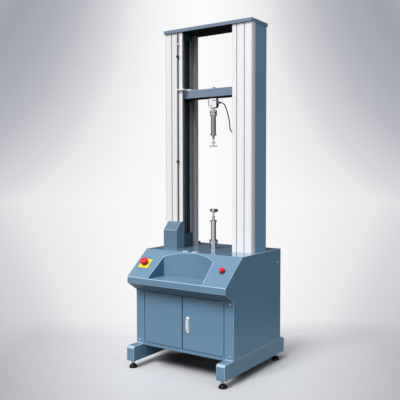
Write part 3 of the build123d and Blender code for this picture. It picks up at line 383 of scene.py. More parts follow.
def spun(shape, geom, angle, steps, **more):
    bmesh.ops.spin(shape, geom=geom, cent=(0, 0, 0), axis=(0, 0, 1), angle=math.radians(angle), steps=steps,
                   **more)


def lathe(profile, steps=48):
    shape = bmesh.new()
    wire = outline(shape, [(radius, 0, height) for radius, height in profile])
    spun(shape, wire, 360, steps, use_merge=True)
    bmesh.ops.remove_doubles(shape, verts=shape.verts, dist=1e-6)
    bmesh.ops.recalc_face_normals(shape, faces=shape.faces)
    return shape


def bar(radius, low, high, steps=32, chamfer=0.0):
    if chamfer:
        return lathe([(0, low), (radius - chamfer, low), (radius, low + chamfer), (radius, high - chamfer),
                      (radius - chamfer, high), (0, high)], steps)
    return lathe([(0, low), (radius, low), (radius, high), (0, high)], steps)


def threaded(start, low, core, crest, flat, pitch, turns, end):
    profile = [(0, start)]
    for step in range(turns):
        rise = low + step * pitch
        profile += [(core, rise), (crest, rise + flat[0]), (crest, rise + flat[1])]
    return lathe(profile + [(core, end), (0, end)], 20)


def toothed(radius, depth, teeth, low, high, chamfer=0.0008):
    shape = bmesh.new()
    made = bmesh.ops.create_circle(shape, cap_ends=True, segments=2 * teeth, radius=radius,
                                   matrix=at(0, 0, low))
    for place, point in enumerate(made["verts"]):
        if place % 2:
            point.co.xy *= 1 - depth / radius
    bottom = shape.faces[:]
    top = only(bmesh.ops.extrude_face_region(shape, geom=bottom)["geom"], bmesh.types.BMFace)
    bmesh.ops.translate(shape, vec=(0, 0, high - low), verts=[v for face in top for v in face.verts])
    for faces, out in ((top, chamfer), (bottom, -chamfer)):
        bmesh.ops.inset_region(shape, faces=faces, thickness=chamfer, depth=0)
        bmesh.ops.translate(shape, vec=(0, 0, out), verts=list({v for face in faces for v in face.verts}))
    bmesh.ops.recalc_face_normals(shape, faces=shape.faces)
    return shape


def prism(sides, across, low, high):
    shape = bmesh.new()
    radius = across / 2 / math.cos(math.pi / sides)
    bmesh.ops.create_cone(shape, cap_ends=True, segments=sides, radius1=radius, radius2=radius,
                          depth=high - low, matrix=at(0, 0, (low + high) / 2) @ turned(180 / sides, "Z"))
    return shape


def screwHead(radius, height, drive="cross"):
    shape = lathe([(0, 0), (radius, 0), (radius, height * 0.45), (radius * 0.86, height * 0.82),
                   (radius * 0.62, height), (0, height)], 24)
    bmesh.ops.dissolve_limit(shape, angle_limit=math.radians(1), verts=shape.verts, edges=shape.edges)
    top = max(shape.faces, key=lambda face: face.calc_center_median().z)
    bmesh.ops.inset_region(shape, faces=[top], thickness=radius * 0.12, depth=0)
    for point in top.verts:
        angle = math.degrees(math.atan2(point.co.y, point.co.x))
        if drive == "hex":
            reach = radius * 0.46 / math.cos(math.radians(angle % 60 - 30))
        else:
            reach = radius * (0.5 if abs((angle + 45) % 90 - 45) < 12 else 0.2)
        point.co.xy = Vector((math.cos(math.radians(angle)), math.sin(math.radians(angle)))) * reach
    recess = bmesh.ops.extrude_discrete_faces(shape, faces=[top])["faces"][0]
    bmesh.ops.translate(shape, vec=(0, 0, -height * 0.55), verts=recess.verts[:])
    return shape


def meshOf(name, shape):
    mesh = bpy.data.meshes.new(name)
    shape.to_mesh(mesh)
    shape.free()
    return mesh


def addTo(whole, part, index=0):
    for face in part.faces:
        face.material_index = index
    spare = meshOf("spare", part)
    whole.from_mesh(spare)
    bpy.data.meshes.remove(spare)


# parts are shapes, or pairs of a shape and the place of its finish in the piece
def joined(*parts):
    whole = bmesh.new()
    whole.loops.layers.float.new("edge")
    for part in parts:
        addTo(whole, *(part if isinstance(part, tuple) else (part,)))
    return whole


def piece(name, shape, looks, body, slot, stands=(), smoothFrom=38, turnOut=True, even=False):
    if turnOut:
        bmesh.ops.recalc_face_normals(shape, faces=shape.faces)
    mesh = meshOf(name, shape)
    for look in [looks] if isinstance(looks, str) else looks:
        mesh.materials.append(finishes[look])
    mesh.shade_smooth()
    mesh.set_sharp_from_angle(angle=math.radians(smoothFrom))
    made = bpy.data.objects.new(name, mesh)
    collection.objects.link(made)
    if even:
        made.modifiers.new("evenShade", "WEIGHTED_NORMAL").keep_sharp = True
    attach(made, body)
    if stands:
        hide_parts(*stands)


def softCopy(node):
    shape = bmesh.new()
    shape.from_mesh(nodes[node].data)
    bmesh.ops.remove_doubles(shape, verts=shape.verts, dist=2e-6)
    bmesh.ops.dissolve_limit(shape, angle_limit=math.radians(0.4), verts=shape.verts, edges=shape.edges)
    return shape


givenNames = {"door_left": "doorPanel_left", "door_right": "doorPanel_right",
              "upper_grip_body": "gripBody", "fasteners": "fastenings"}


# side_panel_left gives sidePanel_left
def pieceName(node):
    words = node.split("_")
    side = "_" + words.pop() if words[-1] in ("left", "right", "upper", "lower") else ""
    return givenNames.get(node, words[0] + "".join(word.title() for word in words[1:]) + side)


# a piece that stands for one node and rides on its body
def standIn(node, shape, looks, slot, name=None, **more):
    piece(name or pieceName(node), shape, looks, bodyOf[node], slot, [node], **more)


# a node's own shape with its edges rounded; second picks the faces of a piece's other finishes, which here
# are darker ones that paint in shade
def softened(node, looks, slot, width, steps=2, least=0.0, thin=0.0, sharpFrom=35, second=None, wear=1.0):
    shape = softCopy(node)
    if thin:
        markThin(shape, thin)
    soften(shape, width, steps, sharpFrom, least, wear=wear)
    if second:
        for face in shape.faces:
            face.material_index = int(second(face))
    standIn(node, shape, looks, slot, turnOut=False, even=True)


def dress(node, *looks):
    mesh = nodes[node].data
    mesh.materials.clear()
    for look in looks:
        mesh.materials.append(finishes[look])
    return mesh


def tube(name, kind, route, thickness, rounding):
    line = bpy.data.curves.new(name, "CURVE")
    line.dimensions = "3D"
    line.bevel_depth = thickness / 2
    line.bevel_resolution = rounding
    line.use_fill_caps = True
    run = line.splines.new(kind)
    run.points.add(len(route) - 1)
    for point, place in zip(run.points, route):
        point.co = (*place, 1)
    made = bpy.data.objects.new(name, line)
    collection.objects.link(made)
    return made, run


# load cell cable
cable = {
    "route": [
        (0.038, 0.062, 1.396), (0.06284, 0.062, 1.396), (0.08012, 0.062, 1.366), (0.09308, 0.062, 1.326),
        (0.1028, 0.062, 1.290), (0.1028, 0.062, 1.262), (0.11252, 0.062, 1.236), (0.1406, 0.062, 1.236),
        (0.15248, 0.062, 1.259), (0.1514, 0.062, 1.298), (0.14816, 0.062, 1.338), (0.146, 0.062, 1.376),
        (0.146, 0.062, 1.411),
    ],
    "diameter": 0.006,
    "length": 0.392,
}


def makeCable(values):
    made, run = tube("loadCellCable", "NURBS", values["route"], values["diameter"], 6)
    run.order_u = 3
    run.use_endpoint_u = True
    made.data.resolution_u = 16
    made.data.materials.append(finishes["cableJacket"])
    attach(made, "crosshead")
    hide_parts("load_cell_cable")


makeCable(cable)
print("cable laid")


# which faces of a piece take its other finishes, the darker ones that paint in shade
def facesDown(face):
    return face.normal.z < -0.9


def facesFront(face):
    return face.normal.y < -0.5


def facesInward(face):
    return face.normal.x * face.calc_center_median().x < -0.0001 and abs(face.normal.x) > 0.5


# a column's grooves lie 0.8 to 5.5 mm behind its front, which is at y -0.004; their faces take a darker
# metal as painted shade, and the inward faces take painted shade as well
def profileShading(face):
    return 2 if 0.0008 < face.calc_center_median().y + 0.004 < 0.0055 else facesInward(face)


# nodes that keep their shape: finish, slot, width of the rounded edges and what else softened takes
blue = ("bluePaint", "blue_paint")
sheet = {"least": 0.006, "thin": 0.0028}
panel = (*blue, 0.0007, sheet)
beam = (*blue, 0.0022, {"steps": 3, "wear": 0.45, **sheet})
door = (*blue, 0.0011, {"least": 0.05, "wear": 0.1})
post = ("innerFrame", "inner_frame", 0.0012, {"least": 0.02})
profile = (["columnMetal", "shadedMetal", "grooveShadeMetal"], "profile", 0.0007,
           {"least": 0.05, "second": profileShading})
blackPart = ("blackPlastic", "black_plastic", 0.0006, {})
ownShapes = {
    "side_panel_left": panel, "side_panel_right": panel, "back_panel": panel, "floor_panel": panel,
    "leg_beam_left": beam, "leg_beam_right": beam,
    "door_left": door, "door_right": door,
    "front_frame": (*blue, 0.0007, {"least": 0.006, "wear": 0.15}),
    "deck_plate": ("deckPaint", "deck_paint", 0.0007, sheet),
    "base_plate": post, "frame_posts": post,
    "column_front_left": profile, "column_front_right": profile,
    # the covers' inward faces take black as painted shade inside the columns
    "column_covers": (["coverLitPaint", "linerBlack"], "blue_paint", 0.0008,
                      {"least": 0.0025, "thin": 0.0028, "second": facesInward}),
    # the rear profiles' faces towards the front take painted shade
    "column_rear_profiles": (["columnMetal", "rearMetal"], "profile", 0.0006,
                             {"least": 0.05, "second": facesFront}),
    # the undersides of the top plate and crosshead take black as painted shade
    "top_plate": (["beamPaint", "linerBlack"], "blue_paint", 0.0009,
                  {"sharpFrom": 30, "least": 0.02, "second": facesDown}),
    "crosshead_beam": (["beamPaint", "linerBlack"], "blue_paint", 0.0010,
                       {"sharpFrom": 30, "least": 0.03, "second": facesDown}),
    "screw_bearings": ("shadedPaint", "blue_paint", 0.0012, {"least": 0.02}),
    "limit_switch_box": ("boxPaint", "blue_paint", 0.0011, sheet),
    "limit_arm": ("satinChrome", "zinc", 0.0008, sheet),
    "cable_gland": blackPart, "switch_bodies": blackPart, "mains_inlet": blackPart,
    "crosshead_bushes": ("bronze", "bronze", 0.0006, {}),
    "estop_plate": ("yellowPlastic", "yellow_plastic", 0.0006, {}),
    "button_cap": ("redPlastic", "red_plastic", 0.0003, {"sharpFrom": 50}),
    "handle_base": ("satinChrome", "chrome", 0.0009, {}),
    "handle_lever": ("satinChrome", "chrome", 0.0006, {"sharpFrom": 50}),
    "door_hinges": ("zinc", "zinc", 0.0005, {}),
}
for node, (looks, slot, width, more) in ownShapes.items():
    softened(node, looks, slot, width, **more)
dress("guide_rods", "darkSteel")
dress("drive_belt", "beltRubber")
for face in dress("console_tray", "bluePaint", "trayShadePaint").polygons:
    face.material_index = int(abs(face.normal.x) > 0.8)  # the tray's end walls take a darker paint as painted shade
print("own shapes finished")


# console's front skin, the bead round its tray and the foot beams' welds
console = {"bend": 0.0026, "steps": 4, "sharpFrom": 20, "least": 0.02}


def makeSkin(values):
    skin = softCopy("console_skin")
    markThin(skin, sheet["thin"])
    low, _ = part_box("console_skin")

    def outerBend(edge):  # the long bends at the very front
        first, second = (point.co for point in edge.verts)
        alongX = abs(first.x - second.x) > 0.05 and abs(first.y - second.y) < 1e-4
        return alongX and first.y < low.y + 0.0005
    soften(skin, values["bend"], values["steps"], values["sharpFrom"], values["least"], outerBend)
    standIn("console_skin", skin, *blue, turnOut=False, even=True)


def bead(name, route, thickness, wobble=0.0):
    holder, run = tube("bead", "POLY", route, thickness, 3)
    for step, point in enumerate(run.points):
        point.radius = 1 + wobble * math.sin(2.4 * step)
    mesh = bpy.data.meshes.new_from_object(holder)
    shape = bmesh.new()
    shape.from_mesh(mesh)
    # the whole bead is marked for the lighter edge colour, a painted highlight along the tray rim and the
    # welds
    markWearAndHighlight(shape.faces, edgeLayer(shape), 1.0)
    bpy.data.meshes.remove(mesh)
    bpy.data.curves.remove(holder.data)
    piece(name, shape, "bluePaint", "base", "blue_paint")


rim = {
    "front": (0.170, -0.2975),
    "half": 0.157,  # half the curved back's width
    "centre": -0.555,
    "radius": 0.409,
    "steps": 24,
    "thickness": 0.0030,
    "slope": (-0.300, 0.481, 0.130 / 0.158),  # y and z at its foot, rise
}
welds = {"x": (0.258, 0.300), "y": -0.2268, "z": 0.1176, "steps": 14, "thickness": 0.0036, "wobble": 0.16}


def makeTrayRim(values):
    radius, steps, (aside, front) = values["radius"], values["steps"], values["front"]
    half = math.asin(values["half"] / radius)
    angles = [-half + 2 * half * step / steps for step in range(steps + 1)]
    arc = [(radius * math.sin(angle), values["centre"] + radius * math.cos(angle)) for angle in angles]
    plan = [(-aside, front), *arc, (aside, front)]
    foot, height, rise = values["slope"]
    bead("trayRim", [(x, y, height + (y - foot) * rise) for x, y in plan], values["thickness"])


def makeWelds(values):
    (inner, outer), steps = values["x"], values["steps"]
    for name, side in (("left", -1), ("right", 1)):
        across = [side * (inner + (outer - inner) * step / steps) for step in range(steps + 1)]
        bead(f"weld_{name}", [(x, values["y"], values["z"]) for x in across], values["thickness"],
             values["wobble"])


makeSkin(console)
makeTrayRim(rim)
makeWelds(welds)
print("console and beads made")


# load cell, grip and presser foot
grip = {
    "axis": (0, 0.062, 0),
    "rings": (1.3273, 1.3433),
    "cellHeight": 1.396,
    "cellFace": 0.0243,  # half the bright face, inside a surround of painted shade and dark reflection
    "cellReach": (0.0285, 0.0278),
    "cellEdge": 0.0014,
    "ringHeight": 0.014,
    "ringRadius": 0.0195,
    "teeth": 54,
    "sleeve": 0.0135,
    "pin": (0.0065, -0.0152, 1.227),
    "body": [
        (0, 1.203), (0.0051, 1.203), (0.0055, 1.2034), (0.0075, 1.223), (0.0158, 1.223), (0.0165, 1.2237),
        (0.0165, 1.2303), (0.0158, 1.231), (0.0135, 1.231), (0.0135, 1.2405), (0.0129, 1.241),
        (0.0129, 1.2425), (0.0135, 1.243), (0.0135, 1.3155), (0.0129, 1.316), (0.0129, 1.3175),
        (0.0135, 1.318), (0.0135, 1.3263), (0.0128, 1.327), (0, 1.327),
    ],
    "presser": [
        (0, 1.164), (0.0208, 1.164), (0.0215, 1.1646), (0.0215, 1.1674), (0.0209, 1.168), (0.0052, 1.168),
        (0.0036, 1.1686), (0.003, 1.1702), (0.003, 1.182), (0.0106, 1.182), (0.011, 1.1824),
        (0.011, 1.1866), (0.0106, 1.187), (0.003, 1.187), (0.003, 1.2035), (0, 1.2035),
    ],
    "relief": [
        (0, 0), (0.0062, 0), (0.0062, 0.002), (0.0052, 0.0026), (0.0052, 0.005), (0.0046, 0.0056),
        (0.0046, 0.008), (0.0040, 0.0086), (0.0040, 0.011), (0.0031, 0.0125), (0, 0.0125),
    ],
    "reliefPlace": (0.0375, 0.062, 1.396),
}


def aroundCell(face, values):
    middle = face.calc_center_median()
    aside, rise = abs(middle.x), abs(middle.z - values["cellHeight"])
    surround = abs(face.normal.y) < 0.97 or max(aside, rise) > values["cellFace"]
    return surround and rise < values["cellReach"][1] and aside < values["cellReach"][0]


def makeLoadCell(values):
    cell = softCopy("load_cell")
    soften(cell, values["cellEdge"], 3, 50)
    for axis in (0, 2):
        for sign in (-1, 1):
            plates = [face for face in cell.faces if abs(face.normal.y) > 0.99]
            parts = set(plates)
            for face in plates:
                parts.update(face.verts, face.edges)
            cut = Vector((0, 0, 0))
            cut[axis] = sign
            bmesh.ops.bisect_plane(cell, geom=list(parts), dist=1e-6, plane_no=cut,
                                   plane_co=Vector((0, 0, values["cellHeight"])) + cut * values["cellFace"])
    # the load cell's sides and the ring round its face take black: painted shade and dark reflection
    for face in cell.faces:
        face.material_index = int(aroundCell(face, values))
    standIn("load_cell", cell, ["cellSilver", "linerBlack"], "cell_silver", turnOut=False, even=True)


def knurledRing(radius, height, low, teeth):
    face, edge, waist = radius - 0.0022, radius - 0.0004, radius - 0.0014
    half = [(0, 0), (face, 0), (edge, 0.0018), (edge, height * 0.34), (waist, height * 0.38)]
    smooth = lathe(half + [(reach, height - rise) for reach, rise in reversed(half)], 56)
    band = toothed(radius, 0.0007, teeth, height * 0.40, height * 0.60, 0.0003)
    return moved(joined(smooth, band), at(0, 0, low))


def makeGrip(values):
    axis = at(*values["axis"])
    rings = [knurledRing(values["ringRadius"], values["ringHeight"], low, values["teeth"])
             for low in values["rings"]]
    sleeve = bar(values["sleeve"], values["rings"][0], values["rings"][1] + 0.002)
    standIn("upper_lock_rings", moved(joined(*rings, sleeve), axis), "brightSteel", "dark_steel")
    pin = moved(screwHead(0.003, 0.0012, "hex"), at(*values["pin"]) @ turned(23, "Z") @ turned(90, "X"))
    body = joined(lathe(values["body"], 56), (pin, 1))
    standIn("upper_grip_body", moved(body, axis), ["gripSteel", "brightSteel"], "dark_steel")
    standIn("presser_foot", moved(lathe(values["presser"], 56), axis), "chrome", "chrome")
    relief = moved(lathe(values["relief"], 28), at(*values["reliefPlace"]) @ turned(90, "Y"))
    piece("cableRelief", relief, "blackPlastic", "crosshead", "black_plastic")


makeLoadCell(grip)
makeGrip(grip)
print("grip made")


# lower jig with its vise
jig = {
    "axis": (0, 0.062, 0),
    "body": [
        (0, 0.579), (0.006, 0.579), (0.006, 0.611), (0.0164, 0.611), (0.017, 0.6116), (0.017, 0.6344),
        (0.0164, 0.635), (0.0135, 0.635), (0.0135, 0.742), (0.013, 0.7425), (0.013, 0.744),
        (0.0135, 0.7445), (0.0135, 0.757), (0.0174, 0.757), (0.018, 0.7576), (0.018, 0.7644),
        (0.0174, 0.765), (0.0085, 0.765), (0.0075, 0.766), (0.0075, 0.7862), (0.0068, 0.787),
        (0.0045, 0.787), (0.0045, 0.8075), (0, 0.8075),
    ],
    "ring": (0.6353, 0.6593, 0.0235),
    "teeth": 60,
    "headEdge": 0.0006,
    "gripFace": -0.0087,  # left of it the vise head is plastic
    "screwPlace": (0, 0.062, 0.819),
    "thread": {"start": 0.0015, "low": 0.0018, "core": 0.0026, "crest": 0.003, "flat": (0.0004, 0.0006),
               "pitch": 0.001, "turns": 10, "end": 0.0130},
    "knob": (0.0085, 0.0006, 26, 0.0125, 0.0235, 0.0010),
}


def makeJig(values):
    axis = at(*values["axis"])
    standIn("jig_body", moved(lathe(values["body"], 64), axis), "chrome", "chrome")
    low, high, radius = values["ring"]
    ring = knurledRing(radius, high - low, low, values["teeth"])
    standIn("jig_lock_ring", moved(ring, axis), "chrome", "chrome")
    head = softCopy("vise_head")
    soften(head, values["headEdge"], 2, 50)
    for face in head.faces:
        face.material_index = int(face.calc_center_median().x < values["gripFace"])
    standIn("vise_head", head, ["brightSteel", "blackPlastic"], "chrome", turnOut=False)
    whole = joined((threaded(**values["thread"]), 1), toothed(*values["knob"]))
    along = at(*values["screwPlace"]) @ turned(90, "Y")
    standIn("vise_screw", moved(whole, along), ["blackPlastic", "brightSteel"], "black_plastic")


makeJig(jig)
print("jig made")


# limit rod with its collars
limitStop = {
    "rod": (-0.185, -0.0115),
    "round": (0.003, 0.700, 1.775, 20, 0.0006),
    "collar": [(0, 0), (0.0063, 0), (0.007, 0.0007), (0.007, 0.0113), (0.0063, 0.012), (0, 0.012)],
    "collars": {"upper": 1.646, "lower": 1.078},
    "grub": (0, -0.0066, 0.006),
    "clip": ((-0.192, -0.017, 1.712), (-0.178, -0.0038, 1.721), 0.0012, 3),
}


def makeLimitStop(values):
    x, y = values["rod"]
    standIn("limit_rod", moved(bar(*values["round"]), at(x, y, 0)), "darkSteel", "dark_steel")
    for name, low in values["collars"].items():
        grub = moved(screwHead(0.0022, 0.0010, "hex"), at(*values["grub"]) @ turned(90, "X"))
        whole = moved(joined(lathe(values["collar"], 32), (grub, 1)), at(x, y, low))
        standIn(f"stop_collar_{name}", whole, ["linerBlack", "darkSteel"], "black_plastic")


makeLimitStop(limitStop)
print("limit rod made")


# emergency stop's head, on the console's slope
stopHead = {
    "slope": 39.448,
    "estop": (-0.243, -0.2226, 0.5447),
    "head": [
        (0, 0.0055), (0.006, 0.0055), (0.006, 0.0157), (0.0196, 0.0157), (0.0209, 0.0163), (0.0213, 0.0174),
        (0.0213, 0.0222), (0.0205, 0.0256), (0.0184, 0.0285), (0.0152, 0.0304), (0.011, 0.0314),
        (0.007, 0.0319), (0, 0.0320),
    ],
    "arrows": (0, 120, 240),
    "arrowBand": [(0.0118, 0, 0.0306), (0.0118, 0, 0.0317), (0.0138, 0, 0.0313), (0.0138, 0, 0.0302)],
    "arrowSweep": 52,
    "arrowTip": (3, 0.0036, 0.0303, 0.03155),
}


def arrow(angle, values):
    band = bmesh.new()
    ring = outline(band, values["arrowBand"])
    ring.append(band.edges.new((ring[3], ring[0])))
    spun(band, ring, values["arrowSweep"], 10)
    bmesh.ops.holes_fill(band, edges=band.edges)
    tip = prism(*values["arrowTip"])
    moved(tip, turned(values["arrowSweep"], "Z") @ at(0.0128, 0.0011, 0) @ turned(90, "Z"))
    return moved(joined(band, tip), turned(angle, "Z"))


def makeStopHead(values):
    seat = at(*values["estop"]) @ turned(values["slope"], "X")
    arrows = joined(*[arrow(angle, values) for angle in values["arrows"]])
    whole = joined(lathe(values["head"], 56), (arrows, 1))
    standIn("estop_head", moved(whole, seat), ["redPlastic", "markPale"], "red_plastic")


makeStopHead(stopHead)
print("emergency stop made")


# lock in the doors' handle, edging round their opening and seal between them; the black edging and seal are
# widened to darken the door gaps, partly real rubber, partly painted shade
lock = {
    "barrel": [(0, 0), (0.0042, 0), (0.0042, 0.0006), (0.0036, 0.0011), (0, 0.0011)],
    "key": ((-0.0004, -0.0022, 0.0006), (0.0004, 0.0022, 0.0013), 0.0001, 1),
    "place": (0.033, -0.237, 0.287),
}
edging = {"half": 0.248, "low": 0.128, "high": 0.398, "lip": 0.0020, "back": -0.2236, "thickness": 0.0030,
          "edge": 0.0004, "seal": ((-0.0042, -0.2266, 0.131), (-0.0004, -0.2252, 0.395), 0.0005)}


def makeLock(values):
    whole = joined(lathe(values["barrel"], 28), (softBlock(*values["key"]), 1))
    moved(whole, at(*values["place"]) @ turned(90, "X"))
    piece("doorLock", whole, ["brightSteel", "footPlastic"], "door_handle", "steel")


def makeEdging(values):
    low, high, lip = values["low"], values["high"], values["lip"]
    shape = bmesh.new()
    size = Matrix.Diagonal((values["half"] + lip, (high - low) / 2 + lip, 1, 1))
    upright = at(0, values["back"], (low + high) / 2) @ turned(90, "X")
    bmesh.ops.create_grid(shape, x_segments=1, y_segments=1, size=1, matrix=upright @ size)
    inner = shape.faces[:]
    bmesh.ops.inset_region(shape, faces=inner, use_boundary=True, thickness=lip, depth=0)
    bmesh.ops.delete(shape, geom=inner, context="FACES")
    front = only(bmesh.ops.extrude_face_region(shape, geom=shape.faces[:])["geom"], bmesh.types.BMVert)
    bmesh.ops.translate(shape, vec=(0, -values["thickness"], 0), verts=front)
    bmesh.ops.recalc_face_normals(shape, faces=shape.faces)
    soften(shape, values["edge"])
    piece("openingEdging", shape, "linerBlack", "base", "black_plastic")
    piece("doorSeal", softBlock(*values["seal"]), "linerBlack", "door_left", "black_plastic")


makeLock(lock)
makeEdging(edging)
print("lock and edging made")


# levelling feet, made round the upright line through their place
foot = {
    "places": {"front_left": (-0.279, -0.284), "front_right": (0.279, -0.284), "rear_left": (-0.279, 0.253),
               "rear_right": (0.279, 0.253)},
    "dome": [
        (0, 0), (0.0205, 0), (0.0213, 0.0008), (0.0213, 0.0020), (0.0207, 0.0024), (0.0207, 0.0030),
        (0.0215, 0.0035), (0.0215, 0.0052), (0.0207, 0.0078), (0.0190, 0.0108), (0.0168, 0.0138),
        (0.0142, 0.0165), (0.0118, 0.0182), (0.0100, 0.0190), (0.0092, 0.0192), (0.0092, 0.0214),
        (0.0084, 0.0221), (0, 0.0221),
    ],
    "thread": {"start": 0.020, "low": 0.020, "core": 0.0051, "crest": 0.0060, "flat": (0.0007, 0.0010),
               "pitch": 0.00175, "turns": 30, "end": 0.0725},
    "nut": (6, 0.021, 0.0297, 0.0385),
    "nutEdge": 0.0009,
}


def makeFoot(name, place, values):
    nut = soften(prism(*values["nut"]), values["nutEdge"])
    whole = joined(lathe(values["dome"]), (threaded(**values["thread"]), 1), (nut, 2))
    moved(whole, at(*place, 0))
    standIn(f"foot_{name}", whole, ["footPlastic", "zinc", "darkSteel"], "foot_plastic",
            f"levelFoot_{name}")


for name, place in foot["places"].items():
    makeFoot(name, place, foot)
print("feet made")


# screws, deck plugs and grommet; a screw's size is its radius, height and drive
screws = {
    "panel": (0.0045, 0.0024),
    "top": (0.0060, 0.0055, "hex"),
    "rows": [
        ("panel", turned(90, "X") @ turned(17, "Z"),
         [(x, -0.226, z) for x in (-0.284, 0.284) for z in (0.135, 0.391)]),
        ("panel", turned(-90, "X") @ turned(40, "Z"),
         [(x, 0.264, z) for x in (-0.281, 0.281) for z in (0.137, 0.589)]),
        ("panel", turned(-90, "Y"), [(-0.303, 0.228, 0.541)]),
        ("panel", turned(90, "Y"), [(0.303, 0.228, 0.541)]),
        ("top", Matrix(),
         [(x, y, 1.7935) for x in (-0.230, -0.185, 0.185, 0.230) for y in (0.0055, 0.1305)]),
    ],
}
plugs = {
    "cap": [(0, 0), (0.0175, 0), (0.0175, 0.0006), (0.0168, 0.0012), (0.0150, 0.0015), (0.0146, 0.0012),
            (0.0142, 0.0015), (0, 0.0017)],
    "capPlaces": [(-0.060, -0.118, 0.611), (0.002, -0.118, 0.611)],
    "grommet": [(0, 0), (0.0110, 0), (0.0110, 0.0022), (0.0104, 0.0030), (0.0084, 0.0036), (0.0084, 0.0082),
                (0.0078, 0.0096), (0.0066, 0.0100), (0.0056, 0.0094), (0.0052, 0.0060), (0, 0.0056)],
    "grommetPlace": (-0.220, 0.243, 0.611),
}


def makeScrews(values):
    heads = [moved(screwHead(*values[size]), at(*place) @ turn)
             for size, turn, places in values["rows"] for place in places]
    clip = softBlock(*limitStop["clip"])
    standIn("fasteners", joined(*heads, clip), "zinc", "zinc")


def makePlugs(values):
    caps = [moved(lathe(values["cap"]), at(*place)) for place in values["capPlaces"]]
    grommet = moved(lathe(values["grommet"], 36), at(*values["grommetPlace"]))
    standIn("deck_plugs", joined(*caps, (grommet, 1)), ["satinChrome", "blackPlastic"], "chrome")


makeScrews(screws)
makePlugs(plugs)
print("screws and plugs made")


# lead screws with their pulleys, and dust strips inside the columns
drive = {
    "screws": {"left": -0.200, "right": 0.200},
    "axis": 0.062,
    "pitch": 0.006,
    "outer": 0.0125,
    "core": 0.0105,
    "crest": (0.28, 0.42, 0.80),  # shares of the pitch
    "low": 0.611,
    "high": 1.7805,
    "pulley": {"radius": 0.025, "depth": 0.0016, "teeth": 30, "low": 0.545, "high": 0.565},
}
strips = {
    "starts": (0.182, 0.193, 0.204),
    "blueTo": 0.19,
    "width": 0.009,
    "pleat": 0.009,
    "fold": 0.0016,
    "face": 0.1102,
    "span": (0.6115, 1.7805),
    "backing": (0.1115, 0.611, 0.113, 1.781),  # y and z of its two corners
}


def makeLeadScrew(name, x, values):
    pitch, core, outer, low, high = (values[key] for key in ("pitch", "core", "outer", "low", "high"))
    rise, full, fall = values["crest"]
    turn = bmesh.new()
    profile = ((core, 0), (core, rise), (outer, full), (outer, fall), (core, 1))
    wire = outline(turn, [(radius, 0, low + share * pitch) for radius, share in profile])
    spun(turn, wire, 360, 14, dvec=(0, 0, pitch / 14))
    spare = meshOf("spare", turn)
    shape = bmesh.new()
    for _ in range(int((high - low) / pitch) - 1):
        shape.from_mesh(spare)
        spare.transform(at(0, 0, pitch))
    bpy.data.meshes.remove(spare)
    bmesh.ops.remove_doubles(shape, verts=shape.verts, dist=2e-5)
    shank = bar(core, values["pulley"]["high"], low + pitch, 24, 0.0005)
    end = bar(core - 0.001, high - 2 * pitch, high, 24, 0.0005)
    whole = moved(joined(shape, shank, end, toothed(**values["pulley"])), at(x, values["axis"], 0))
    standIn(f"lead_screw_{name}", whole, "darkSteel", "steel")


def makeDustStrips(values):
    shape = bmesh.new()
    (low, high), pleat = values["span"], values["pleat"]
    front, under, rear, over = values["backing"]
    steps = 2 * int((high - low) / pleat) + 1
    for side in (-1, 1):
        for start in values["starts"]:
            finish = int(start < values["blueTo"])
            near, far = sorted((side * start, side * (start + values["width"])))
            line = bmesh.new()
            wire = outline(line, [(near, values["face"] + (values["fold"] if step % 2 else 0),
                                   low + step * pleat / 2) for step in range(steps)])
            grown = bmesh.ops.extrude_edge_only(line, edges=only(wire, bmesh.types.BMEdge))["geom"]
            bmesh.ops.translate(line, vec=(far - near, 0, 0), verts=only(grown, bmesh.types.BMVert))
            addTo(shape, line, finish)
            addTo(shape, softBlock((near, front, under), (far, rear, over), 0.0003, 1), finish)
    standIn("dust_strips", shape, ["stripRubber", "stripLitBlue"], "strip", smoothFrom=20, turnOut=False)


for name, x in drive["screws"].items():
    makeLeadScrew(name, x, drive)
makeDustStrips(strips)
print("lead screws and strips made")


# motor and its pulley, control box and the mains inlet's pins
motor = {
    "low": (-0.043, 0.087, 0.395),
    "high": (0.043, 0.173, 0.535),
    "flange": ((-0.055, 0.075, 0.535), (0.055, 0.185, 0.543), 0.0012),
    "ribs": {"count": 7, "first": 0.411, "pitch": 0.017, "height": 0.004, "proud": 0.0035},
    "bolts": [(x, y) for x in (-0.045, 0.045) for y in (0.085, 0.175)],
    "bolt": (0.006, 0.543, 0.579, 24, 0.0006),
    "boltHead": (0.0055, 0.004, "hex"),
    "wheel": (0.020, 0.0014, 24, 0.545, 0.565),
    "hub": (0.007, 0.535, 0.546, 24, 0.0004),
    "shaft": (0, 0.130, 0),
}
case = {
    "low": (-0.250, 0.040, 0.120),
    "high": (-0.100, 0.240, 0.370),
    "lid": (0.006, 0.0016),  # how far inside the edges, how proud
    "slats": {"count": 8, "inset": 0.030, "pitch": 0.011, "height": 0.006, "proud": (0.0034, 0.0012)},
    "screw": (0.0035, 0.0018),
    "screwInset": 0.012,
}
inlet = {
    "pins": [(0.191, 0.207), (0.209, 0.207), (0.200, 0.214)],
    "pin": (0.0009, 0.0022, 0.252, 0.265),  # half width and height, from and to
    "screws": [(0.1745, 0.267, 0.210), (0.2255, 0.267, 0.210)],
    "screw": (0.0030, 0.0014),
}


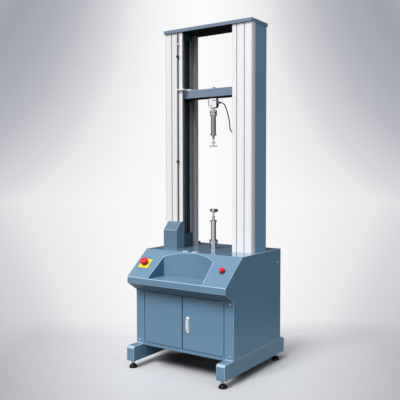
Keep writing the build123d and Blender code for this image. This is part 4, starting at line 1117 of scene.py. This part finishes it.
def makeMotor(values):
    low, high, ribs = Vector(values["low"]), Vector(values["high"]), values["ribs"]
    parts = [softBlock(low, high, 0.006, 3, least=0.1)]
    proud = Vector((ribs["proud"], ribs["proud"], 0))
    for step in range(ribs["count"]):
        under, over = low - proud, high + proud
        under.z = ribs["first"] + step * ribs["pitch"]
        over.z = under.z + ribs["height"]
        parts.append(softBlock(under, over, 0.0012))
    parts.append(softBlock(*values["flange"]))
    for x, y in values["bolts"]:
        parts.append((moved(bar(*values["bolt"]), at(x, y, 0)), 1))
        parts.append((moved(screwHead(*values["boltHead"]), at(x, y, high.z) @ turned(180, "X")), 1))
    standIn("drive_motor", joined(*parts), ["innerFrame", "zinc"], "dark_steel")
    wheel = moved(joined(toothed(*values["wheel"]), bar(*values["hub"])), at(*values["shaft"]))
    standIn("motor_pulley", wheel, "brightSteel", "steel")


def makeCase(values):
    low, high, slats = Vector(values["low"]), Vector(values["high"]), values["slats"]
    inset, proud = values["lid"]
    parts = [softBlock(low, high, 0.0022, 3),
             softBlock((low.x + inset, low.y - proud, low.z + inset),
                       (high.x - inset, low.y + 0.0004, high.z - inset), 0.0008)]
    left, right, (front, rear) = low.x + slats["inset"], high.x - slats["inset"], slats["proud"]
    for step in range(slats["count"]):
        z = low.z + slats["inset"] + step * slats["pitch"]
        slat = (left, low.y - front, z), (right, low.y - rear, z + slats["height"])
        parts.append(softBlock(*slat, 0.0009))
    inset = values["screwInset"]
    for x in (low.x + inset, high.x - inset):
        for z in (low.z + inset, high.z - inset):
            head = screwHead(*values["screw"])
            parts.append((moved(head, at(x, low.y - proud, z) @ turned(90, "X")), 1))
    standIn("control_box", joined(*parts), ["innerFrame", "zinc"], "inner_frame")


def makeInlet(values):
    wide, tall, start, end = values["pin"]
    pins = [softBlock((x - wide, start, z - tall), (x + wide, end, z + tall), 0.0004)
            for x, z in values["pins"]]
    heads = [moved(screwHead(*values["screw"]), at(*place) @ turned(-90, "X"))
             for place in values["screws"]]
    piece("inletPins", joined(*pins, *heads), "brightSteel", "base", "steel")


makeMotor(motor)
makeCase(case)
makeInlet(inlet)
print("drive and control box made")


# floor, backdrop and light; a row of four is a span, then what its two ends give
studioFloor = {
    "radius": 4.0,
    "tone": (0.60, 0.60, 0.62),
    "roughness": 0.6,
    "specular": 0.2,
    "toFront": (0.565, -0.825, 0),  # from the machine towards the photograph's viewer
    "aside": (0.825, 0.565, 0),
    # painted falloff of light on the floor: darker towards the viewer and to the sides
    "frontTone": (-0.2, 0.75, 1.0, 0.74),
    "sideTone": (0.36, 1.10, 1.0, 0.55),
    "fadeOut": (0.75, 1.6, 0.0, 1.0),
    "fadeBehind": (-0.95, -0.15, 1.0, 0.0),
}
shade = {
    "least": 0.22,
    "front": (-0.215, -0.07, 1.0, 0.0),
    "slant": (-0.17, -0.95),  # from this x on the front edge runs back by so much
    "right": (0.27, 0.33, 0.0, 1.0),
    "left": (-0.33, -0.46, 0.0, 1.0),
    "rear": (0.27, 0.36, 0.0, 1.0),
}
backdrop = {
    "aside": (0.8248, 0.5654, 0),
    "horizon": 0.0473,
    "widen": (5.4, 1.75),  # above and below the horizon
    "sink": 3.0,
    "reach": 1.3,
    # painted falloff of light: the backdrop is brightest in one direction and darker away from it
    "stops": [
        (0.0, (0.97, 0.97, 0.97)), (0.15, (0.91, 0.91, 0.92)), (0.28, (0.80, 0.80, 0.82)),
        (0.34, (0.68, 0.68, 0.71)), (0.40, (0.60, 0.60, 0.64)), (0.47, (0.50, 0.505, 0.555)),
        (0.57, (0.42, 0.43, 0.48)), (0.70, (0.35, 0.365, 0.425)), (1.3, (0.62, 0.63, 0.66)),
    ],
    "mirrorSide": ((0.16, -0.96, 0.22), (0.22, 0.78, 0.06, 1.0)),
    "ambient": (0.95, 0.97, 1.0),
    "tent": ((-0.12, -0.60, 0.79), (-0.25, 0.95, 0.10, 1.15)),
    "overhead": (0.10, 0.60, 0.10, 1.0),
}
lamps = {
    "keyLight": {"from": (-0.06, -0.72, 0.86), "spread": 22, "strength": 3.25},
    "frontLight": {"from": (-0.30, -0.93, 0.12), "spread": 40, "strength": 0.30},
    "sideLight": {"from": (0.97, -0.22, 0.13), "spread": 34, "strength": 1.12, "colour": (0.81, 0.95, 1.0)},
    "rearLight": {"from": (-0.55, 0.80, 0.12), "spread": 50, "strength": 0.70, "mirrored": False},
}


# painted shadow under the machine: how bright the floor stays, least in the middle, 1 outside its footprint
def paintedShadowUnderMachine(place, values):
    x, y = dot(place, (1, 0, 0)), dot(place, (0, 1, 0))
    start, slant = values["slant"]
    beyond = calc("MAXIMUM", calc("SUBTRACT", start, x), 0.0)
    lit = remap(scaled(beyond, slant, y), *values["front"])
    for value, edge in ((x, "right"), (x, "left"), (y, "rear")):
        lit = calc("MAXIMUM", lit, remap(value, *values[edge]))
    return scaled(lit, 1 - values["least"], values["least"])


def makeFloor(values):
    shape = bmesh.new()
    bmesh.ops.create_circle(shape, cap_ends=True, segments=96, radius=values["radius"],
                            matrix=at(0, 0, -0.0003))
    mesh = meshOf("floor", shape)
    made = bpy.data.materials.new("studioFloor")
    tree = emptyTree(made)
    place = added("TexCoord", tree=tree).outputs["Object"]
    away = added("VectorMath", {0: place}, operation="LENGTH").outputs["Value"]
    toFront = dot(place, values["toFront"])
    aside = calc("ABSOLUTE", dot(place, values["aside"]))
    bounce = added("LightPath", tree=tree).outputs["Is Diffuse Ray"]
    tone = times(remap(toFront, *values["frontTone"]), remap(aside, *values["sideTone"]))
    tone = times(tone, paintedShadowUnderMachine(place, shade))
    tone = times(tone, calc("SUBTRACT", 1.0, bounce))  # throws no light up at the machine
    colour = mixColour(1.0, (*values["tone"], 1.0), tone, "MULTIPLY")
    skin = added("BsdfPrincipled", {"Base Color": colour, "Roughness": values["roughness"],
                                    gloss: values["specular"]})
    fade = calc("MAXIMUM", remap(away, *values["fadeOut"]), remap(toFront, *values["fadeBehind"]))
    clear = added("BsdfTransparent", tree=tree)
    mix = added("MixShader", {0: fade, 1: skin.outputs[0], 2: clear.outputs[0]})
    added("OutputMaterial", {"Surface": mix.outputs[0]})
    mesh.materials.append(made)
    floor = bpy.data.objects.new("floor", mesh)
    collection.objects.link(floor)


def makeBackdrop(values):
    world = bpy.data.worlds.new("studio")
    bpy.context.scene.world = world
    tree = emptyTree(world)
    direction = added("TexCoord", tree=tree).outputs["Generated"]
    up = dot(direction, (0, 0, 1))
    side = calc("ABSOLUTE", dot(direction, values["aside"]))
    lift = calc("ADD", up, values["horizon"])
    above = calc("MAXIMUM", lift, 0.0)
    below = calc("MAXIMUM", times(lift, -1.0), 0.0)
    widen = scaled(below, values["widen"][1], 1.0)
    widen = scaled(above, values["widen"][0], widen)
    spread = times(side, widen)
    sink = times(times(below, below), values["sink"])
    away = calc("SQRT", scaled(spread, spread, times(sink, sink)))
    ramp = added("ValToRGB", {"Fac": calc("DIVIDE", away, values["reach"])})
    stops = ramp.color_ramp.elements
    while len(stops) < len(values["stops"]):
        stops.new(0.5)
    for stop, (where, colour) in zip(stops, values["stops"]):
        stop.position = where / values["reach"]
        stop.color = (*colour, 1)
    rays = added("LightPath", tree=tree).outputs
    shown = calc("MAXIMUM", rays["Is Camera Ray"], rays["Is Transmission Ray"])
    shown = calc("MAXIMUM", shown, rays["Is Glossy Ray"])
    towards, span = values["mirrorSide"]
    far = calc("SUBTRACT", 1.0, remap(dot(direction, towards), *span))
    strength = calc("SUBTRACT", 1.0, times(rays["Is Glossy Ray"], far))
    seen = added("Background", {"Color": ramp.outputs["Color"], "Strength": strength})
    towards, span = values["tent"]
    tent = remap(dot(direction, towards), *span)
    overhead = remap(up, *values["overhead"])
    room = added("Background", {"Color": (*values["ambient"], 1), "Strength": times(tent, overhead)})
    mix = added("MixShader", {0: shown, 1: room.outputs[0], 2: seen.outputs[0]})
    added("OutputWorld", {"Surface": mix.outputs[0]})


def makeLamps(values):
    for name, lamp in values.items():
        light = bpy.data.lights.new(name, "SUN")
        light.energy = lamp["strength"]
        light.color = lamp.get("colour", (1, 1, 1))
        light.angle = math.radians(lamp["spread"])
        holder = bpy.data.objects.new(name, light)
        holder.visible_glossy = lamp.get("mirrored", True)
        collection.objects.link(holder)
        holder.rotation_euler = Vector(lamp["from"]).to_track_quat("Z", "Y").to_euler()


makeFloor(studioFloor)
makeBackdrop(backdrop)
makeLamps(lamps)
bpy.context.scene.view_settings.view_transform = "Standard"
print("studio lit")
